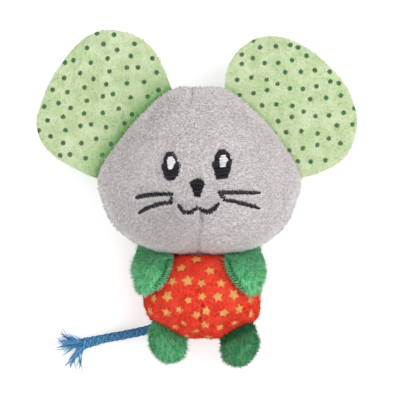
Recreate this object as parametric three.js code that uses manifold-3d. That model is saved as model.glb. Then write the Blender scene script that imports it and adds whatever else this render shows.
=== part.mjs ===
// A stuffed catnip mouse for a cat, lying on its back with its face up.
// Every stuffed form is two cloth panels sewn together at the edge round a filling, and the body
// also holds a sachet of catnip. Ears, arms, feet and tail are caught in the seams.
// Millimetres. +Z points out of the face, +Y towards the ears, and left is the mouse's own left, +X.
// The plan of every outline starts at the chin.
import * as THREE from 'three';
import { mergeVertices } from 'three/addons/utils/BufferGeometryUtils.js';
import Module from 'manifold-3d';

const wasm = await Module();
wasm.setup();

// Driving dimensions

const clearance = 0.3; // between pieces that are sewn or laid against each other
const seamGap = 0.3; // between the two panels of a form, at its seam
const fillingGap = 0.7; // between a filling and the cloth round it
const footprintDepth = 0.5; // how deep the back of a form is pressed flat where it lies
const overrun = 5; // how far a cutter passes what it cuts

const head = {
  width: 82,
  height: 68,
  frontDepth: 23,
  backDepth: 20.5,
  cloth: 1.5,
  crown: { fullness: 2.5, edge: 0.72 },
  centreShare: 0.47,
  // shares of half the width and of the height, from the chin up to the crown
  halfShares: [
    [0, 0], [0.55, 0.045], [0.84, 0.17], [0.96, 0.32], [1, 0.455], [0.84, 0.647], [0.55, 0.86],
    [0.26, 0.99], [0, 1],
  ],
  segments: 36,
  ringShares: [0.3, 0.55, 0.75, 0.88, 0.96, 1],
  fillingRingShares: [0.55, 0.88, 1],
};

const neck = {
  hingeUp: 7, // hinge line above the chin and behind the head's seam, amid the rounding of the chin
  hingeBehind: 3,
  nodForward: 10, // degrees
  nodBack: 12,
  tuck: 6, // how far the body reaches in under the chin
  fall: 15, // length over which the chest falls back to the chin
  fallPast: 1, // how far above the chin it ends
  leastShare: 0.15, // of the chest's height that is left there
};

const body = {
  width: 48,
  aside: 1, // the body was sewn on a little towards the mouse's left
  length: 33.5, // from the chin
  frontDepth: 16.5,
  backDepth: 17.5,
  cloth: 1.3,
  crown: { fullness: 2.5, edge: 0.7 },
  centreShare: 0.41,
  // shares of half the width and of the height, from the bottom up to the neck
  halfShares: [
    [0, 0.008], [0.29, 0.015], [0.515, 0.083], [0.725, 0.165], [0.865, 0.21], [0.95, 0.29],
    [1, 0.42], [0.955, 0.595], [0.81, 0.735], [0.625, 0.823], [0.48, 0.878], [0.33, 0.96], [0, 1],
  ],
  segments: 32,
  ringShares: [0.35, 0.62, 0.82, 0.94, 1],
  fillingRingShares: [0.5, 0.84, 1],
};

const ear = {
  root: 47, // length of the sewn edge
  reach: 38.8,
  cloth: 1.1,
  puff: 0.5, // how much the middle stands above the edge
  rootThinningShare: 0.3, // of the thickness, left where the seam presses it
  pinch: 7, // length over which that pressing fades
  rootHeightShare: 0.725, // middle of the sewn edge, in the head's height and half width
  rootWidthShare: 0.637,
  hingeOut: 5, // hinge line outside the middle of the sewn edge, clear of the head's outline
  rootGap: 0.5,
  crown: { fullness: 4, edge: 1 },
  centreShare: 0.46,
  // shares of the reach outwards, then of the root towards the crown
  outlineShares: [
    [-0.14, -0.42], [-0.14, 0.42], [0, 0.51], [0.14, 0.6], [0.39, 0.66], [0.62, 0.64], [0.84, 0.5],
    [0.975, 0.28], [1, 0.05], [0.975, -0.2], [0.84, -0.43], [0.63, -0.55], [0.4, -0.59],
    [0.14, -0.555], [0, -0.505],
  ],
  segments: 32,
  ringShares: [0.5, 0.85, 1],
};

const arm = {
  width: 17.2,
  length: 19.8,
  across: 18.8, // middle of the arm from the middle of the head, and from the chin
  down: 6.1,
  frontDepth: 5.2,
  backDepth: 3.6,
  cloth: 1,
  restGap: 0.5, // between the arm and the chest that it lies on
  standOff: 3, // height of the arm's seam above the top of the chest
  drapeShares: [1.23, 1.19], // how wide and long the arc is that it lies on, in the chest's
  rootGap: 1.9, // between the sewn edge and the cheek
  rootThinningShare: 0.15,
  pinch: 10,
  hinge: { across: 16.5, up: -1.6, slant: 14.5 }, // under the cheek, with its slant in degrees
  crown: { fullness: 2.3, edge: 0.66 },
  // shares of half the width outwards and of half the length upwards, round from the outer shoulder
  outlineShares: [
    [0.5, 1.2], [0.77, 0.72], [0.965, 0.29], [1, -0.02], [0.86, -0.43], [0.7, -0.84], [0.33, -0.99],
    [-0.09, -0.84], [-0.5, -0.545], [-0.78, -0.19], [-0.965, 0.28], [-0.99, 0.6], [-0.72, 0.86],
    [-0.1, 1.08],
  ],
  segments: 20,
  ringShares: [0.5, 0.8, 0.94, 1],
};

const foot = {
  width: 16.4,
  length: 17.4,
  across: 14.4, // middle of the foot from the middle of the body, and from the chin
  down: 35,
  frontDepth: 6,
  backDepth: 5.5,
  cloth: 1,
  rootGap: 0.5,
  rootThinningShare: 0.15,
  pinch: 9,
  hinge: { across: 13.6, down: 31, slant: 24 }, // along the body's bottom seam
  crown: { fullness: 2.3, edge: 0.62 },
  outlineShares: [
    [-1.0, 0.5], [-1, 0.1], [-0.98, -0.25], [-0.8, -0.71], [-0.39, -0.95], [0.12, -0.97],
    [0.6, -0.69], [0.91, -0.23], [1, 0.17], [0.93, 0.58], [0.7, 1.08], [0, 1.2],
  ],
  segments: 20,
  ringShares: [0.5, 0.8, 0.94, 1],
};

// What differs between the mouse's two sides, as the toy was sewn
const sides = [
  { name: 'left', sign: 1, earSplay: 41.8, earReachShare: 0.96, footDrop: 0.8 },
  { name: 'right', sign: -1, earSplay: 38.7, earReachShare: 1.03, footDrop: -0.4 },
];

const face = {
  aside: -0.5,
  up: 26.4,
  tilt: 2.3, // degrees
  thread: 0.7, // how thick the embroidery stands
  lineWidth: 1.5, // of a stitched line
  eye: { width: 7.8, height: 10.8, apart: 19.8, up: 10 },
  highlight: { width: 2.9, height: 4.6, up: 1.1 },
  nose: { width: 6.2, height: 7, up: 1 },
  // shares of half the nose's width and height, from its top round one side
  noseShares: [[0, 1], [-0.8, 0.9], [-1, 0.45], [-0.6, -0.1], [-0.4, -0.6], [-0.3, -0.95], [0, -1]],
  mouth: { width: 16.2, drop: 7.1, depth: 1.9, lift: 1.7 },
  whisker: { inner: 9.4, outer: 24.6, drop: 1.4, spread: 6.8, gap: 3.2, arch: 0.5 },
  segments: 18,
  ringShares: [0.5, 1],
};

const sachet = { width: 17, height: 20, depth: 8, up: 14, edge: 0.8, segments: 20 };

const tail = {
  diameter: 3.6,
  sides: 8,
  steps: 12,
  // route of the cord's middle, from the seam behind the mouse's right foot, down to what it lies on
  route: [
    [-14.7, -26.8, 9.6], [-16.8, -28.3, 8.0], [-19.1, -29.4, 6.5], [-21.7, -30.25, 5.0],
    [-24.7, -31.0, 3.7], [-28.0, -31.7, 2.6], [-31.8, -32.5, 2.02], [-36.0, -33.2, 1.87],
    [-40.2, -34.1, 1.85], [-43.9, -35.0, 1.85],
  ],
};

const tassel = {
  length: 14.4,
  width: 12.6,
  tip: 1.2, // thickness at the ends of the yarns
  heading: 195, // degrees
  segments: 20,
  ringShares: [0.5, 1],
  // shares of the length outwards and of the width, round from the cord
  outlineShares: [
    [0, -0.14], [0.3, -0.22], [0.86, -0.5], [1, -0.3], [0.9, -0.05], [1, 0.2], [0.84, 0.5],
    [0.3, 0.22], [0, 0.14],
  ],
};

// Materials, in the colours of the toy's cloths and threads

const cloth = (name, color, roughness = 0.95) =>
  new THREE.MeshStandardMaterial({ name, color, roughness, metalness: 0 });

const materials = {
  greyPlush: cloth('grey_plush', 0xc0b8b9),
  dottedVelour: cloth('dotted_velour', 0xc6dca6),
  starVelour: cloth('star_velour', 0xec4a33),
  greenPlush: cloth('green_plush', 0x3f9a5c),
  blackThread: cloth('black_thread', 0x2c2a30, 0.6),
  whiteThread: cloth('white_thread', 0xf0eef0, 0.6),
  filling: cloth('polyester_filling', 0xf2f1ec),
  sachet: cloth('sachet_cloth', 0xe6e0d0),
  blueCord: cloth('blue_cord', 0x3f79ad, 0.8),
};

// Outlines

const plan = (x, y) => new THREE.Vector2(x, y);
const radians = THREE.MathUtils.degToRad;

// A smooth closed line through the points, as evenly spaced points that run anticlockwise.
function closedOutline(points, segments) {
  const through = points.map((p) => new THREE.Vector3(p.x, p.y, 0));
  const curve = new THREE.CatmullRomCurve3(through, true, 'centripetal');
  const line = curve.getSpacedPoints(segments).slice(0, -1).map((p) => plan(p.x, p.y));
  return THREE.ShapeUtils.area(line) < 0 ? line.reverse() : line;
}

// A form's outline that is the same on both sides of x = middle, standing on y = base.
function mirroredOutline(shares, width, height, middle, base, segments) {
  const half = shares.map(([x, y]) => [(x * width) / 2, base + y * height]);
  const other = half.slice(1, -1).reverse().map(([x, y]) => [-x, y]);
  return closedOutline([...half, ...other].map(([x, y]) => plan(middle + x, y)), segments);
}

// The outline moved outwards from its centre, or inwards by a negative distance.
const offsetOutline = (outline, centre, distance) =>
  outline.map((p) => {
    const spoke = p.clone().sub(centre);
    return centre.clone().addScaledVector(spoke, 1 + distance / spoke.length());
  });

// How far out a point lies between the centre, 0, and the outline, 1.
function shareAt(point, outline, centre) {
  const spoke = point.clone().sub(centre);
  for (let i = 0; i < outline.length; i++) {
    const a = outline[i].clone().sub(centre);
    const b = outline[(i + 1) % outline.length].clone().sub(centre);
    const whole = a.cross(b);
    const alongA = spoke.cross(b) / whole;
    const alongB = a.cross(spoke) / whole;
    if (alongA >= 0 && alongB >= 0) return alongA + alongB;
  }
  return 0;
}

const crownHeight = (crown, share) =>
  Math.max(0, 1 - Math.min(share, 1) ** crown.fullness) ** crown.edge;

// Solids

function indexed(positions, index) {
  const geometry = new THREE.BufferGeometry();
  geometry.setAttribute('position', new THREE.Float32BufferAttribute(positions, 3));
  return geometry.setIndex(index);
}

// A closed body between an upper and a lower surface over an outline. Each surface is a pole at the
// centre and rings out to its own outline, at the height that its function gives for (point, share).
function loft({ centre, ringShares, upperOutline, lowerOutline = upperOutline, upper, lower }) {
  const count = upperOutline.length;
  const positions = [];
  const index = [];
  const addSurface = (outline, height, facesUp) => {
    const pole = positions.length / 3;
    positions.push(centre.x, centre.y, height(centre, 0));
    ringShares.forEach((share) =>
      outline.forEach((p) => {
        const q = centre.clone().lerp(p, share);
        positions.push(q.x, q.y, height(q, share));
      }));
    const at = (ring, i) => pole + 1 + ring * count + (i % count);
    const face = (a, b, c) => index.push(...(facesUp ? [a, b, c] : [a, c, b]));
    for (let i = 0; i < count; i++) {
      face(pole, at(0, i), at(0, i + 1));
      for (let ring = 1; ring < ringShares.length; ring++) {
        face(at(ring - 1, i), at(ring, i), at(ring, i + 1));
        face(at(ring - 1, i), at(ring, i + 1), at(ring - 1, i + 1));
      }
    }
    return (i) => at(ringShares.length - 1, i);
  };
  const rimAbove = addSurface(upperOutline, upper, true);
  const rimBelow = addSurface(lowerOutline, lower, false);
  for (let i = 0; i < count; i++) {
    index.push(rimAbove(i), rimBelow(i), rimBelow(i + 1));
    index.push(rimAbove(i), rimBelow(i + 1), rimAbove(i + 1));
  }
  return indexed(positions, index);
}

// A ribbon of the given width along a path, between two heights.
function ribbon(path, width, upper, lower) {
  const positions = [];
  const index = [];
  path.forEach((p, i) => {
    const before = path[Math.max(i - 1, 0)];
    const after = path[Math.min(i + 1, path.length - 1)];
    const along = after.clone().sub(before).normalize();
    const across = plan(-along.y, along.x).multiplyScalar(width / 2);
    [[1, upper], [1, lower], [-1, lower], [-1, upper]].forEach(([way, height]) => {
      const q = p.clone().addScaledVector(across, way);
      positions.push(q.x, q.y, height(q));
    });
  });
  const corners = 4;
  const quad = (a, b, c, d) => index.push(a, c, b, a, d, c);
  for (let i = 0; i + 1 < path.length; i++) {
    for (let k = 0; k < corners; k++) {
      const here = i * corners + k;
      const beside = i * corners + ((k + 1) % corners);
      quad(here, beside, beside + corners, here + corners);
    }
  }
  const last = (path.length - 1) * corners;
  quad(3, 2, 1, 0);
  quad(last, last + 1, last + 2, last + 3);
  return indexed(positions, index);
}

function solidOf(geometry) {
  const bare = geometry.clone();
  bare.deleteAttribute('normal');
  bare.deleteAttribute('uv');
  const merged = mergeVertices(bare);
  return new wasm.Manifold(new wasm.Mesh({
    numProp: 3,
    vertProperties: merged.attributes.position.array,
    triVerts: new Uint32Array(merged.index.array),
  }));
}

// The geometry less each of the cutters.
function cut(geometry, ...cutters) {
  const left = cutters.reduce((solid, cutter) => solid.subtract(cutter), solidOf(geometry));
  const { vertProperties, triVerts } = left.getMesh();
  return indexed(vertProperties, Array.from(triVerts));
}

// A solid that stands over an outline, from well below the mouse to well above it.
function standingSolid(outline) {
  const tall = 2 * (head.frontDepth + head.backDepth) + overrun;
  const shape = new THREE.ExtrudeGeometry(new THREE.Shape(outline), {
    depth: 2 * tall,
    bevelEnabled: false,
  });
  return solidOf(shape.translate(0, 0, -tall));
}

// Everything below the surface that the mouse lies on.
const ground = (() => {
  const reach = 2 * (head.width + head.height);
  return solidOf(new THREE.BoxGeometry(reach, reach, reach).translate(0, 0, -reach / 2));
})();

// Adds a group that stands where its pieces are hinged.
function addHinged(parent, place) {
  const group = new THREE.Group();
  parent.add(group);
  parent.updateWorldMatrix(true, false);
  group.position.copy(parent.worldToLocal(place.clone()));
  return group;
}

// Adds a node to a group, from a geometry that is in the mouse's own frame.
function addNode(group, name, geometry, material) {
  const place = group.getWorldPosition(new THREE.Vector3());
  geometry.translate(-place.x, -place.y, -place.z);
  geometry.computeVertexNormals();
  const mesh = new THREE.Mesh(geometry, material);
  mesh.name = name;
  group.add(mesh);
}

// Stuffed forms

const always = () => 1;
const nothingBelow = () => -Infinity;

// The pieces of a form that is domed front and back. Its seam is at the height middle(point), the
// domes are scaled by frontShare(point) and backShare(point), and where something lies under it the
// back goes no lower than support(point).
function stuffedForm({
  form, outline, centre, middle, frontShare = always, backShare = always, support = nothingBelow,
}) {
  const half = seamGap / 2;
  const { ringShares, frontDepth, backDepth } = form;
  const above = (within, least) => (p, u) =>
    middle(p)
    + Math.max(least, half + frontDepth * crownHeight(form.crown, u) * frontShare(p) - within);
  const below = (within, least) => (p, u) => {
    const dome = half + backDepth * crownHeight(form.crown, u) * backShare(p) - within;
    return Math.max(
      middle(p) - Math.max(least, dome), Math.min(support(p) + within, middle(p) - least));
  };
  const inner = offsetOutline(outline, centre, -form.cloth);
  const room = form.cloth + fillingGap;
  return {
    front: () => loft({
      centre, ringShares, upperOutline: outline, lowerOutline: inner,
      upper: above(0, half), lower: above(form.cloth, half),
    }),
    back: () => loft({
      centre, ringShares, upperOutline: inner, lowerOutline: outline,
      upper: below(form.cloth, half), lower: below(0, half),
    }),
    // the filling thins out towards the seam, and stays clear of both panels there
    filling: () => loft({
      centre,
      ringShares: form.fillingRingShares ?? ringShares,
      upperOutline: offsetOutline(outline, centre, -room),
      upper: above(room, half / 3), lower: below(room, half / 3),
    }),
    // the whole form, grown by a clearance
    whole: (grow) => loft({
      centre, ringShares, upperOutline: offsetOutline(outline, centre, grow),
      upper: (p, u) => above(0, half)(p, u) + grow, lower: (p, u) => below(0, half)(p, u) - grow,
    }),
  };
}

// How thick a form is left by the seam that presses it at its root: at a distance outwards from the
// hinge it rises from the thinned share to 1.
const rootShare = ({ rootThinningShare, pinch }, distance) =>
  THREE.MathUtils.lerp(rootThinningShare, 1, THREE.MathUtils.smoothstep(distance, 0, pinch));

const mouse = new THREE.Group();

// Head

const headSeam = head.backDepth + seamGap / 2 - footprintDepth;
const headCentre = plan(0, head.centreShare * head.height);
const headOutline = mirroredOutline(
  head.halfShares, head.width, head.height, 0, 0, head.segments);
const headForm = stuffedForm({
  form: head, outline: headOutline, centre: headCentre, middle: () => headSeam,
});
const neckHinge = new THREE.Vector3(0, neck.hingeUp, headSeam - neck.hingeBehind);
const headGroup = addHinged(mouse, neckHinge);
addNode(headGroup, 'head_front_panel', headForm.front(), materials.greyPlush);
addNode(headGroup, 'head_back_panel', cut(headForm.back(), ground), materials.greyPlush);
addNode(headGroup, 'head_filling', headForm.filling(), materials.filling);

// What the head takes up as it nods, for the body to leave free.
const headSweep = [-neck.nodBack, -neck.nodBack / 2, 0, neck.nodForward / 2, neck.nodForward]
  .map((turn) => {
    const turned = headForm.whole(clearance).translate(0, -neckHinge.y, -neckHinge.z);
    return solidOf(turned.rotateX(radians(turn)).translate(0, neckHinge.y, neckHinge.z));
  });

// Everything over the head's plan, grown by a clearance.
const headPlan = (grow) => standingSolid(offsetOutline(headOutline, headCentre, grow));

// Face embroidery, each patch following the front of the head

const onFace = (x, y) =>
  plan(x, y).rotateAround(plan(0, 0), radians(face.tilt)).add(plan(face.aside, face.up));

function frontHeight(p) {
  const share = shareAt(p, headOutline, headCentre);
  return headSeam + seamGap / 2 + head.frontDepth * crownHeight(head.crown, share);
}

const stitchedTop = (lift) => (p) => frontHeight(p) + lift + clearance + face.thread;
const stitchedBottom = (lift) => (p) => frontHeight(p) + lift + clearance;

function patch(outline, centre, lift = 0) {
  return loft({
    centre, ringShares: face.ringShares, upperOutline: outline,
    upper: stitchedTop(lift), lower: stitchedBottom(lift),
  });
}

function ovalPatch(x, y, { width, height }, lift) {
  const outline = Array.from({ length: face.segments }, (_, i) => {
    const angle = (2 * Math.PI * i) / face.segments;
    return onFace(x + (width / 2) * Math.cos(angle), y + (height / 2) * Math.sin(angle));
  });
  return patch(outline, onFace(x, y), lift);
}

function stitchedLine(points) {
  const through = points.map(([x, y]) => new THREE.Vector3(x, y, 0));
  const curve = new THREE.CatmullRomCurve3(through, false, 'centripetal');
  const path = curve.getPoints(3 * (points.length - 1)).map((p) => onFace(p.x, p.y));
  return ribbon(path, face.lineWidth, stitchedTop(0), stitchedBottom(0));
}

function addEye({ name, sign }) {
  const { eye, highlight } = face;
  const x = (sign * eye.apart) / 2;
  const shine = ovalPatch(x, eye.up + highlight.up, highlight, face.thread + clearance);
  addNode(headGroup, `eye_${name}`, ovalPatch(x, eye.up, eye), materials.blackThread);
  addNode(headGroup, `eye_${name}_highlight`, shine, materials.whiteThread);
}

function addWhiskers({ name, sign }) {
  const { inner, outer, drop, spread, gap, arch } = face.whisker;
  const middle = (inner + outer) / 2;
  const line = stitchedLine([
    [sign * outer, -drop - arch], [sign * middle, -drop + arch], [sign * inner, -drop],
    [sign * (inner + face.lineWidth), -drop - gap],
    [sign * middle, -drop - (gap + spread) / 2 + arch], [sign * outer, -drop - spread],
  ]);
  addNode(headGroup, `whiskers_${name}`, line, materials.blackThread);
}

function addNose() {
  const { nose, noseShares } = face;
  const half = noseShares.map(([x, y]) => [(x * nose.width) / 2, nose.up + (y * nose.height) / 2]);
  const other = half.slice(1, -1).reverse().map(([x, y]) => [-x, y]);
  const points = [...half, ...other].map(([x, y]) => onFace(x, y));
  const outline = closedOutline(points, face.segments);
  addNode(headGroup, 'nose', patch(outline, onFace(0, nose.up + nose.height / 8)),
    materials.blackThread);
}

function addMouth() {
  const { width, drop, depth, lift } = face.mouth;
  const line = stitchedLine([
    [-width / 2, lift - drop], [-width / 4, -drop - depth], [0, -drop],
    [width / 4, -drop - depth], [width / 2, lift - drop],
  ]);
  addNode(headGroup, 'mouth', line, materials.blackThread);
}

sides.forEach(addEye);
sides.forEach(addWhiskers);
addNose();
addMouth();

// Ears, each two flat panels caught in the head's side seam

function addEar({ name, sign, earSplay, earReachShare }) {
  const splay = radians(earSplay);
  const outwards = plan(sign * Math.cos(splay), Math.sin(splay));
  const upwards = plan(-sign * Math.sin(splay), Math.cos(splay));
  const reach = ear.reach * earReachShare;
  const root = plan(
    (sign * ear.rootWidthShare * head.width) / 2, ear.rootHeightShare * head.height);
  const at = (out, up) => root.clone().addScaledVector(outwards, out).addScaledVector(upwards, up);
  const points = ear.outlineShares.map(([out, up]) => at(out * reach, up * ear.root));
  const outline = closedOutline(points, ear.segments);
  const half = seamGap / 2;
  const outer = (p, u) => {
    const fromHinge = p.clone().sub(root).dot(outwards) - ear.hingeOut;
    return half + rootShare(ear, fromHinge) * (ear.cloth + ear.puff * crownHeight(ear.crown, u));
  };
  const sewn = { centre: at(ear.centreShare * reach, 0), ringShares: ear.ringShares };
  const front = loft({
    ...sewn, upperOutline: outline,
    upper: (p, u) => headSeam + outer(p, u), lower: () => headSeam + half,
  });
  const back = loft({
    ...sewn, upperOutline: outline,
    upper: () => headSeam - half, lower: (p, u) => headSeam - outer(p, u),
  });
  const hinge = at(ear.hingeOut, 0);
  const group = addHinged(headGroup, new THREE.Vector3(hinge.x, hinge.y, headSeam));
  const edge = headPlan(ear.rootGap);
  addNode(group, `ear_${name}_front_panel`, cut(front, edge), materials.dottedVelour);
  addNode(group, `ear_${name}_back_panel`, cut(back, edge), materials.dottedVelour);
}

sides.forEach(addEar);

// Body, seated against the underside of the head

const bodySeam = body.backDepth + seamGap / 2 - footprintDepth;
const bodyHeight = body.length + neck.tuck;
const bodyCentre = plan(body.aside, body.centreShare * bodyHeight - body.length);
const bodyOutline = mirroredOutline(
  body.halfShares, body.width, bodyHeight, body.aside, -body.length, body.segments);

// The chest falls back to the chin on a quarter of an ellipse.
function chestShare(p) {
  const along = THREE.MathUtils.clamp((p.y - neck.fallPast + neck.fall) / neck.fall, 0, 1);
  return Math.max(neck.leastShare, Math.sqrt(1 - along ** 2));
}

const bodyForm = stuffedForm({
  form: body, outline: bodyOutline, centre: bodyCentre, middle: () => bodySeam,
  frontShare: chestShare,
});

const sachetCentre = plan(body.aside, sachet.up - body.length);
const sachetOutline = (grow) =>
  closedOutline([[1, 0], [0, 1], [-1, 0], [0, -1]].map(([x, y]) =>
    plan(x * (sachet.width / 2 + grow), y * (sachet.height / 2 + grow)).add(sachetCentre)),
  sachet.segments);
const pillow = (share) => (sachet.depth / 2) * (1 - share ** 2) ** sachet.edge;
const pocketTop = bodySeam + sachet.depth / 2 + clearance;

// The pocket in the filling is open towards the back panel.
const pocket = solidOf(loft({
  centre: sachetCentre,
  ringShares: [1],
  upperOutline: sachetOutline(clearance),
  upper: () => pocketTop,
  lower: () => -overrun,
}));

addNode(mouse, 'body_front_panel', cut(bodyForm.front(), ...headSweep), materials.starVelour);
addNode(mouse, 'body_back_panel', cut(bodyForm.back(), ground, ...headSweep),
  materials.starVelour);
addNode(mouse, 'body_filling', cut(bodyForm.filling(), pocket, ...headSweep), materials.filling);
addNode(mouse, 'catnip_sachet', loft({
  centre: sachetCentre,
  ringShares: [0.6, 0.9, 1],
  upperOutline: sachetOutline(0),
  upper: (_, u) => bodySeam + seamGap / 2 + pillow(u),
  lower: (_, u) => bodySeam - seamGap / 2 - pillow(u),
}), materials.sachet);

// Arms, caught under the cheeks and lying on the chest

// The height of the chest under a point, or of nothing beside the body.
function chestHeight(p) {
  const share = shareAt(p, bodyOutline, bodyCentre);
  const rise = body.frontDepth * crownHeight(body.crown, share) * chestShare(p);
  return share < 1 ? bodySeam + seamGap / 2 + rise : -Infinity;
}

function drape(p) {
  const top = bodySeam + body.frontDepth + arm.standOff;
  const [wide, long] = arm.drapeShares;
  const across = (p.x - bodyCentre.x) / ((wide * body.width) / 2);
  const along = (p.y - bodyCentre.y) / (long * -bodyCentre.y);
  return top - body.frontDepth * (across ** 2 + along ** 2);
}

// The front, back and filling of a limb that is hinged on a slanting line in the plan.
function addLimb({ form, name, sign, middle, support, hinge, centre, edges, height }) {
  const points = form.outlineShares.map(([x, y]) =>
    plan((sign * x * form.width) / 2, (y * form.length) / 2).add(centre));
  const slant = radians(form.hinge.slant);
  const downwards = plan(sign * Math.sin(slant), -Math.cos(slant));
  const thin = (p) => rootShare(form, p.clone().sub(hinge).dot(downwards));
  const limb = stuffedForm({
    form, centre, middle, support, frontShare: thin, backShare: thin,
    outline: closedOutline(points, form.segments),
  });
  const group = addHinged(mouse, new THREE.Vector3(hinge.x, hinge.y, height));
  addNode(group, `${name}_front_panel`, cut(limb.front(), ...edges), materials.greenPlush);
  addNode(group, `${name}_back_panel`, cut(limb.back(), ...edges), materials.greenPlush);
  addNode(group, `${name}_filling`, cut(limb.filling(), ...edges), materials.filling);
}

sides.forEach(({ name, sign }) => {
  const hinge = plan(sign * arm.hinge.across, arm.hinge.up);
  addLimb({
    form: arm, name: `arm_${name}`, sign, hinge,
    centre: plan(sign * arm.across, -arm.down),
    middle: drape,
    support: (p) => chestHeight(p) + arm.restGap,
    edges: [headPlan(arm.rootGap), ...headSweep],
    height: drape(hinge),
  });
});

// Feet, caught in the body's bottom seam

const bodyPlan = standingSolid(offsetOutline(bodyOutline, bodyCentre, foot.rootGap));

sides.forEach(({ name, sign, footDrop }) => {
  addLimb({
    form: foot, name: `foot_${name}`, sign,
    hinge: plan(body.aside + sign * foot.hinge.across, -foot.hinge.down),
    centre: plan(body.aside + sign * foot.across, -foot.down - footDrop),
    middle: () => bodySeam,
    edges: [bodyPlan],
    height: bodySeam,
  });
});

// The mouse without its tail stands centred on the origin.
const footprint = new THREE.Box3().setFromObject(mouse);
const origin = footprint.getCenter(new THREE.Vector3()).setZ(footprint.min.z);

// Tail, a braided cord that ends in its loose yarns

const tailRoute = new THREE.CatmullRomCurve3(
  tail.route.map((p) => new THREE.Vector3(...p)), false, 'centripetal');

function cordSection() {
  const radius = tail.diameter / 2;
  return new THREE.Shape(Array.from({ length: tail.sides }, (_, i) => {
    const angle = (2 * Math.PI * i) / tail.sides;
    return plan(radius * Math.cos(angle), radius * Math.sin(angle));
  }));
}

addNode(mouse, 'tail_cord', new THREE.ExtrudeGeometry(cordSection(), {
  steps: tail.steps, extrudePath: tailRoute, bevelEnabled: false,
}), materials.blueCord);

function tasselSolid() {
  const heading = radians(tassel.heading);
  const end = tail.route[tail.route.length - 1];
  const start = plan(end[0], end[1])
    .addScaledVector(plan(Math.cos(heading), Math.sin(heading)), 2 * clearance);
  const at = (out, aside) => plan(out, aside).rotateAround(plan(0, 0), heading).add(start);
  const points = tassel.outlineShares.map(([out, aside]) =>
    at(out * tassel.length, aside * tassel.width));
  const thickness = (p) => THREE.MathUtils.lerp(
    tail.diameter, tassel.tip, Math.min(1, p.distanceTo(start) / tassel.length));
  const low = end[2] - tail.diameter / 2;
  return loft({
    centre: at(tassel.length / 2, 0),
    ringShares: tassel.ringShares,
    upperOutline: closedOutline(points, tassel.segments),
    upper: (p) => low + thickness(p),
    lower: () => low,
  });
}

addNode(mouse, 'tail_frayed_end', tasselSolid(), materials.blueCord);

mouse.position.copy(origin.negate());

export default mouse;
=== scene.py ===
"""A stuffed catnip mouse, dressed in its cloths, piles, threads and braided tail."""
import math
from copy import copy

import bpy
import numpy as np
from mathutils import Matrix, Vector, noise
from mathutils.bvhtree import BVHTree


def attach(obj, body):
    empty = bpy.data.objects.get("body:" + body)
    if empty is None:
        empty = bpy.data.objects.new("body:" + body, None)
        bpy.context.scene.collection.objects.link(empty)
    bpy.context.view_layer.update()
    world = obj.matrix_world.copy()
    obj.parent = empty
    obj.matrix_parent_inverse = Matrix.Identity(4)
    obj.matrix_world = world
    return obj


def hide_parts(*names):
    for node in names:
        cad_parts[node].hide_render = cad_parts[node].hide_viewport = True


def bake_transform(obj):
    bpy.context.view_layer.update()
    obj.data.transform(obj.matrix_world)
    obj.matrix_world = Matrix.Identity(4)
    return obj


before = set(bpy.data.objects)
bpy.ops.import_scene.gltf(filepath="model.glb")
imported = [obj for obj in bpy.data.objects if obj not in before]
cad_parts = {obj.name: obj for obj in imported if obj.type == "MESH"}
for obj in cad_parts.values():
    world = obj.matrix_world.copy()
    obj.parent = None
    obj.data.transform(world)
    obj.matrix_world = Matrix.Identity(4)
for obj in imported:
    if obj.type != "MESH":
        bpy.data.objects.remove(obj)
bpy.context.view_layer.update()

# Sizes are in millimetres, plans start at the chin, and MM turns them into the frame's metres.
MM = 0.001
CHIN = np.array((1.096, -22.293, 0.0))  # the chin in the frame
LEFT, RIGHT = 1, -1  # the mouse's own sides, as signs of x
SIDES = ((LEFT, "left"), (RIGHT, "right"))

# ---------------------------------------------------------------- camera, floor and light

VIEW_AXIS = (1.296, 0.107)  # what the photograph looks straight down on
VIEW_HEIGHT = 1520
SCALE_HEIGHT = 20  # where one pixel is PIXEL wide
PIXEL = 0.4
FRAME_PIXELS = 400
CHIN_PIXEL = (199.5, 256)
SENSOR = 36
FLOOR_HALF = 3  # metres
FLOOR_GAP = 0.2  # how far the card lies below what rests on it

camera_data = bpy.data.cameras.new("camera")
camera_data.sensor_width = SENSOR
camera_data.lens = SENSOR * (VIEW_HEIGHT - SCALE_HEIGHT) / (PIXEL * FRAME_PIXELS)
camera_data.clip_end = 10
camera = bpy.data.objects.new("camera", camera_data)
camera.location = (VIEW_AXIS[0] * MM, VIEW_AXIS[1] * MM, VIEW_HEIGHT * MM)
bpy.context.scene.collection.objects.link(camera)
bpy.context.scene.camera = camera
bpy.context.scene.view_settings.view_transform = "Standard"


def linear(colour):
    """The scene's colour for an sRGB hex value."""
    shades = [int(colour[i:i + 2], 16) / 255 for i in (1, 3, 5)]
    return [s / 12.92 if s <= 0.04045 else ((s + 0.055) / 1.055) ** 2.4 for s in shades] + [1]


def add_node(tree, kind, inputs=None, **settings):
    """Adds a node with its settings. Each input is a value, a hex colour, or the socket or node
    that it is linked to."""
    node = tree.nodes.new(kind)
    for name, value in settings.items():
        setattr(node, name, value)
    for name, value in (inputs or {}).items():
        if isinstance(value, bpy.types.Node):
            value = next(socket for socket in value.outputs if socket.enabled)
        if isinstance(value, bpy.types.NodeSocket):
            tree.links.new(value, node.inputs[name])
        else:
            hex_colour = isinstance(value, str) and value.startswith("#")
            node.inputs[name].default_value = linear(value) if hex_colour else value
    return node


MATERIALS = {}


def new_material(name):
    """The empty node tree of a material that pieces take by its name."""
    material = MATERIALS[name] = bpy.data.materials.new(name)
    material.use_nodes = True
    material.node_tree.nodes.clear()
    return material.node_tree


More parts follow.
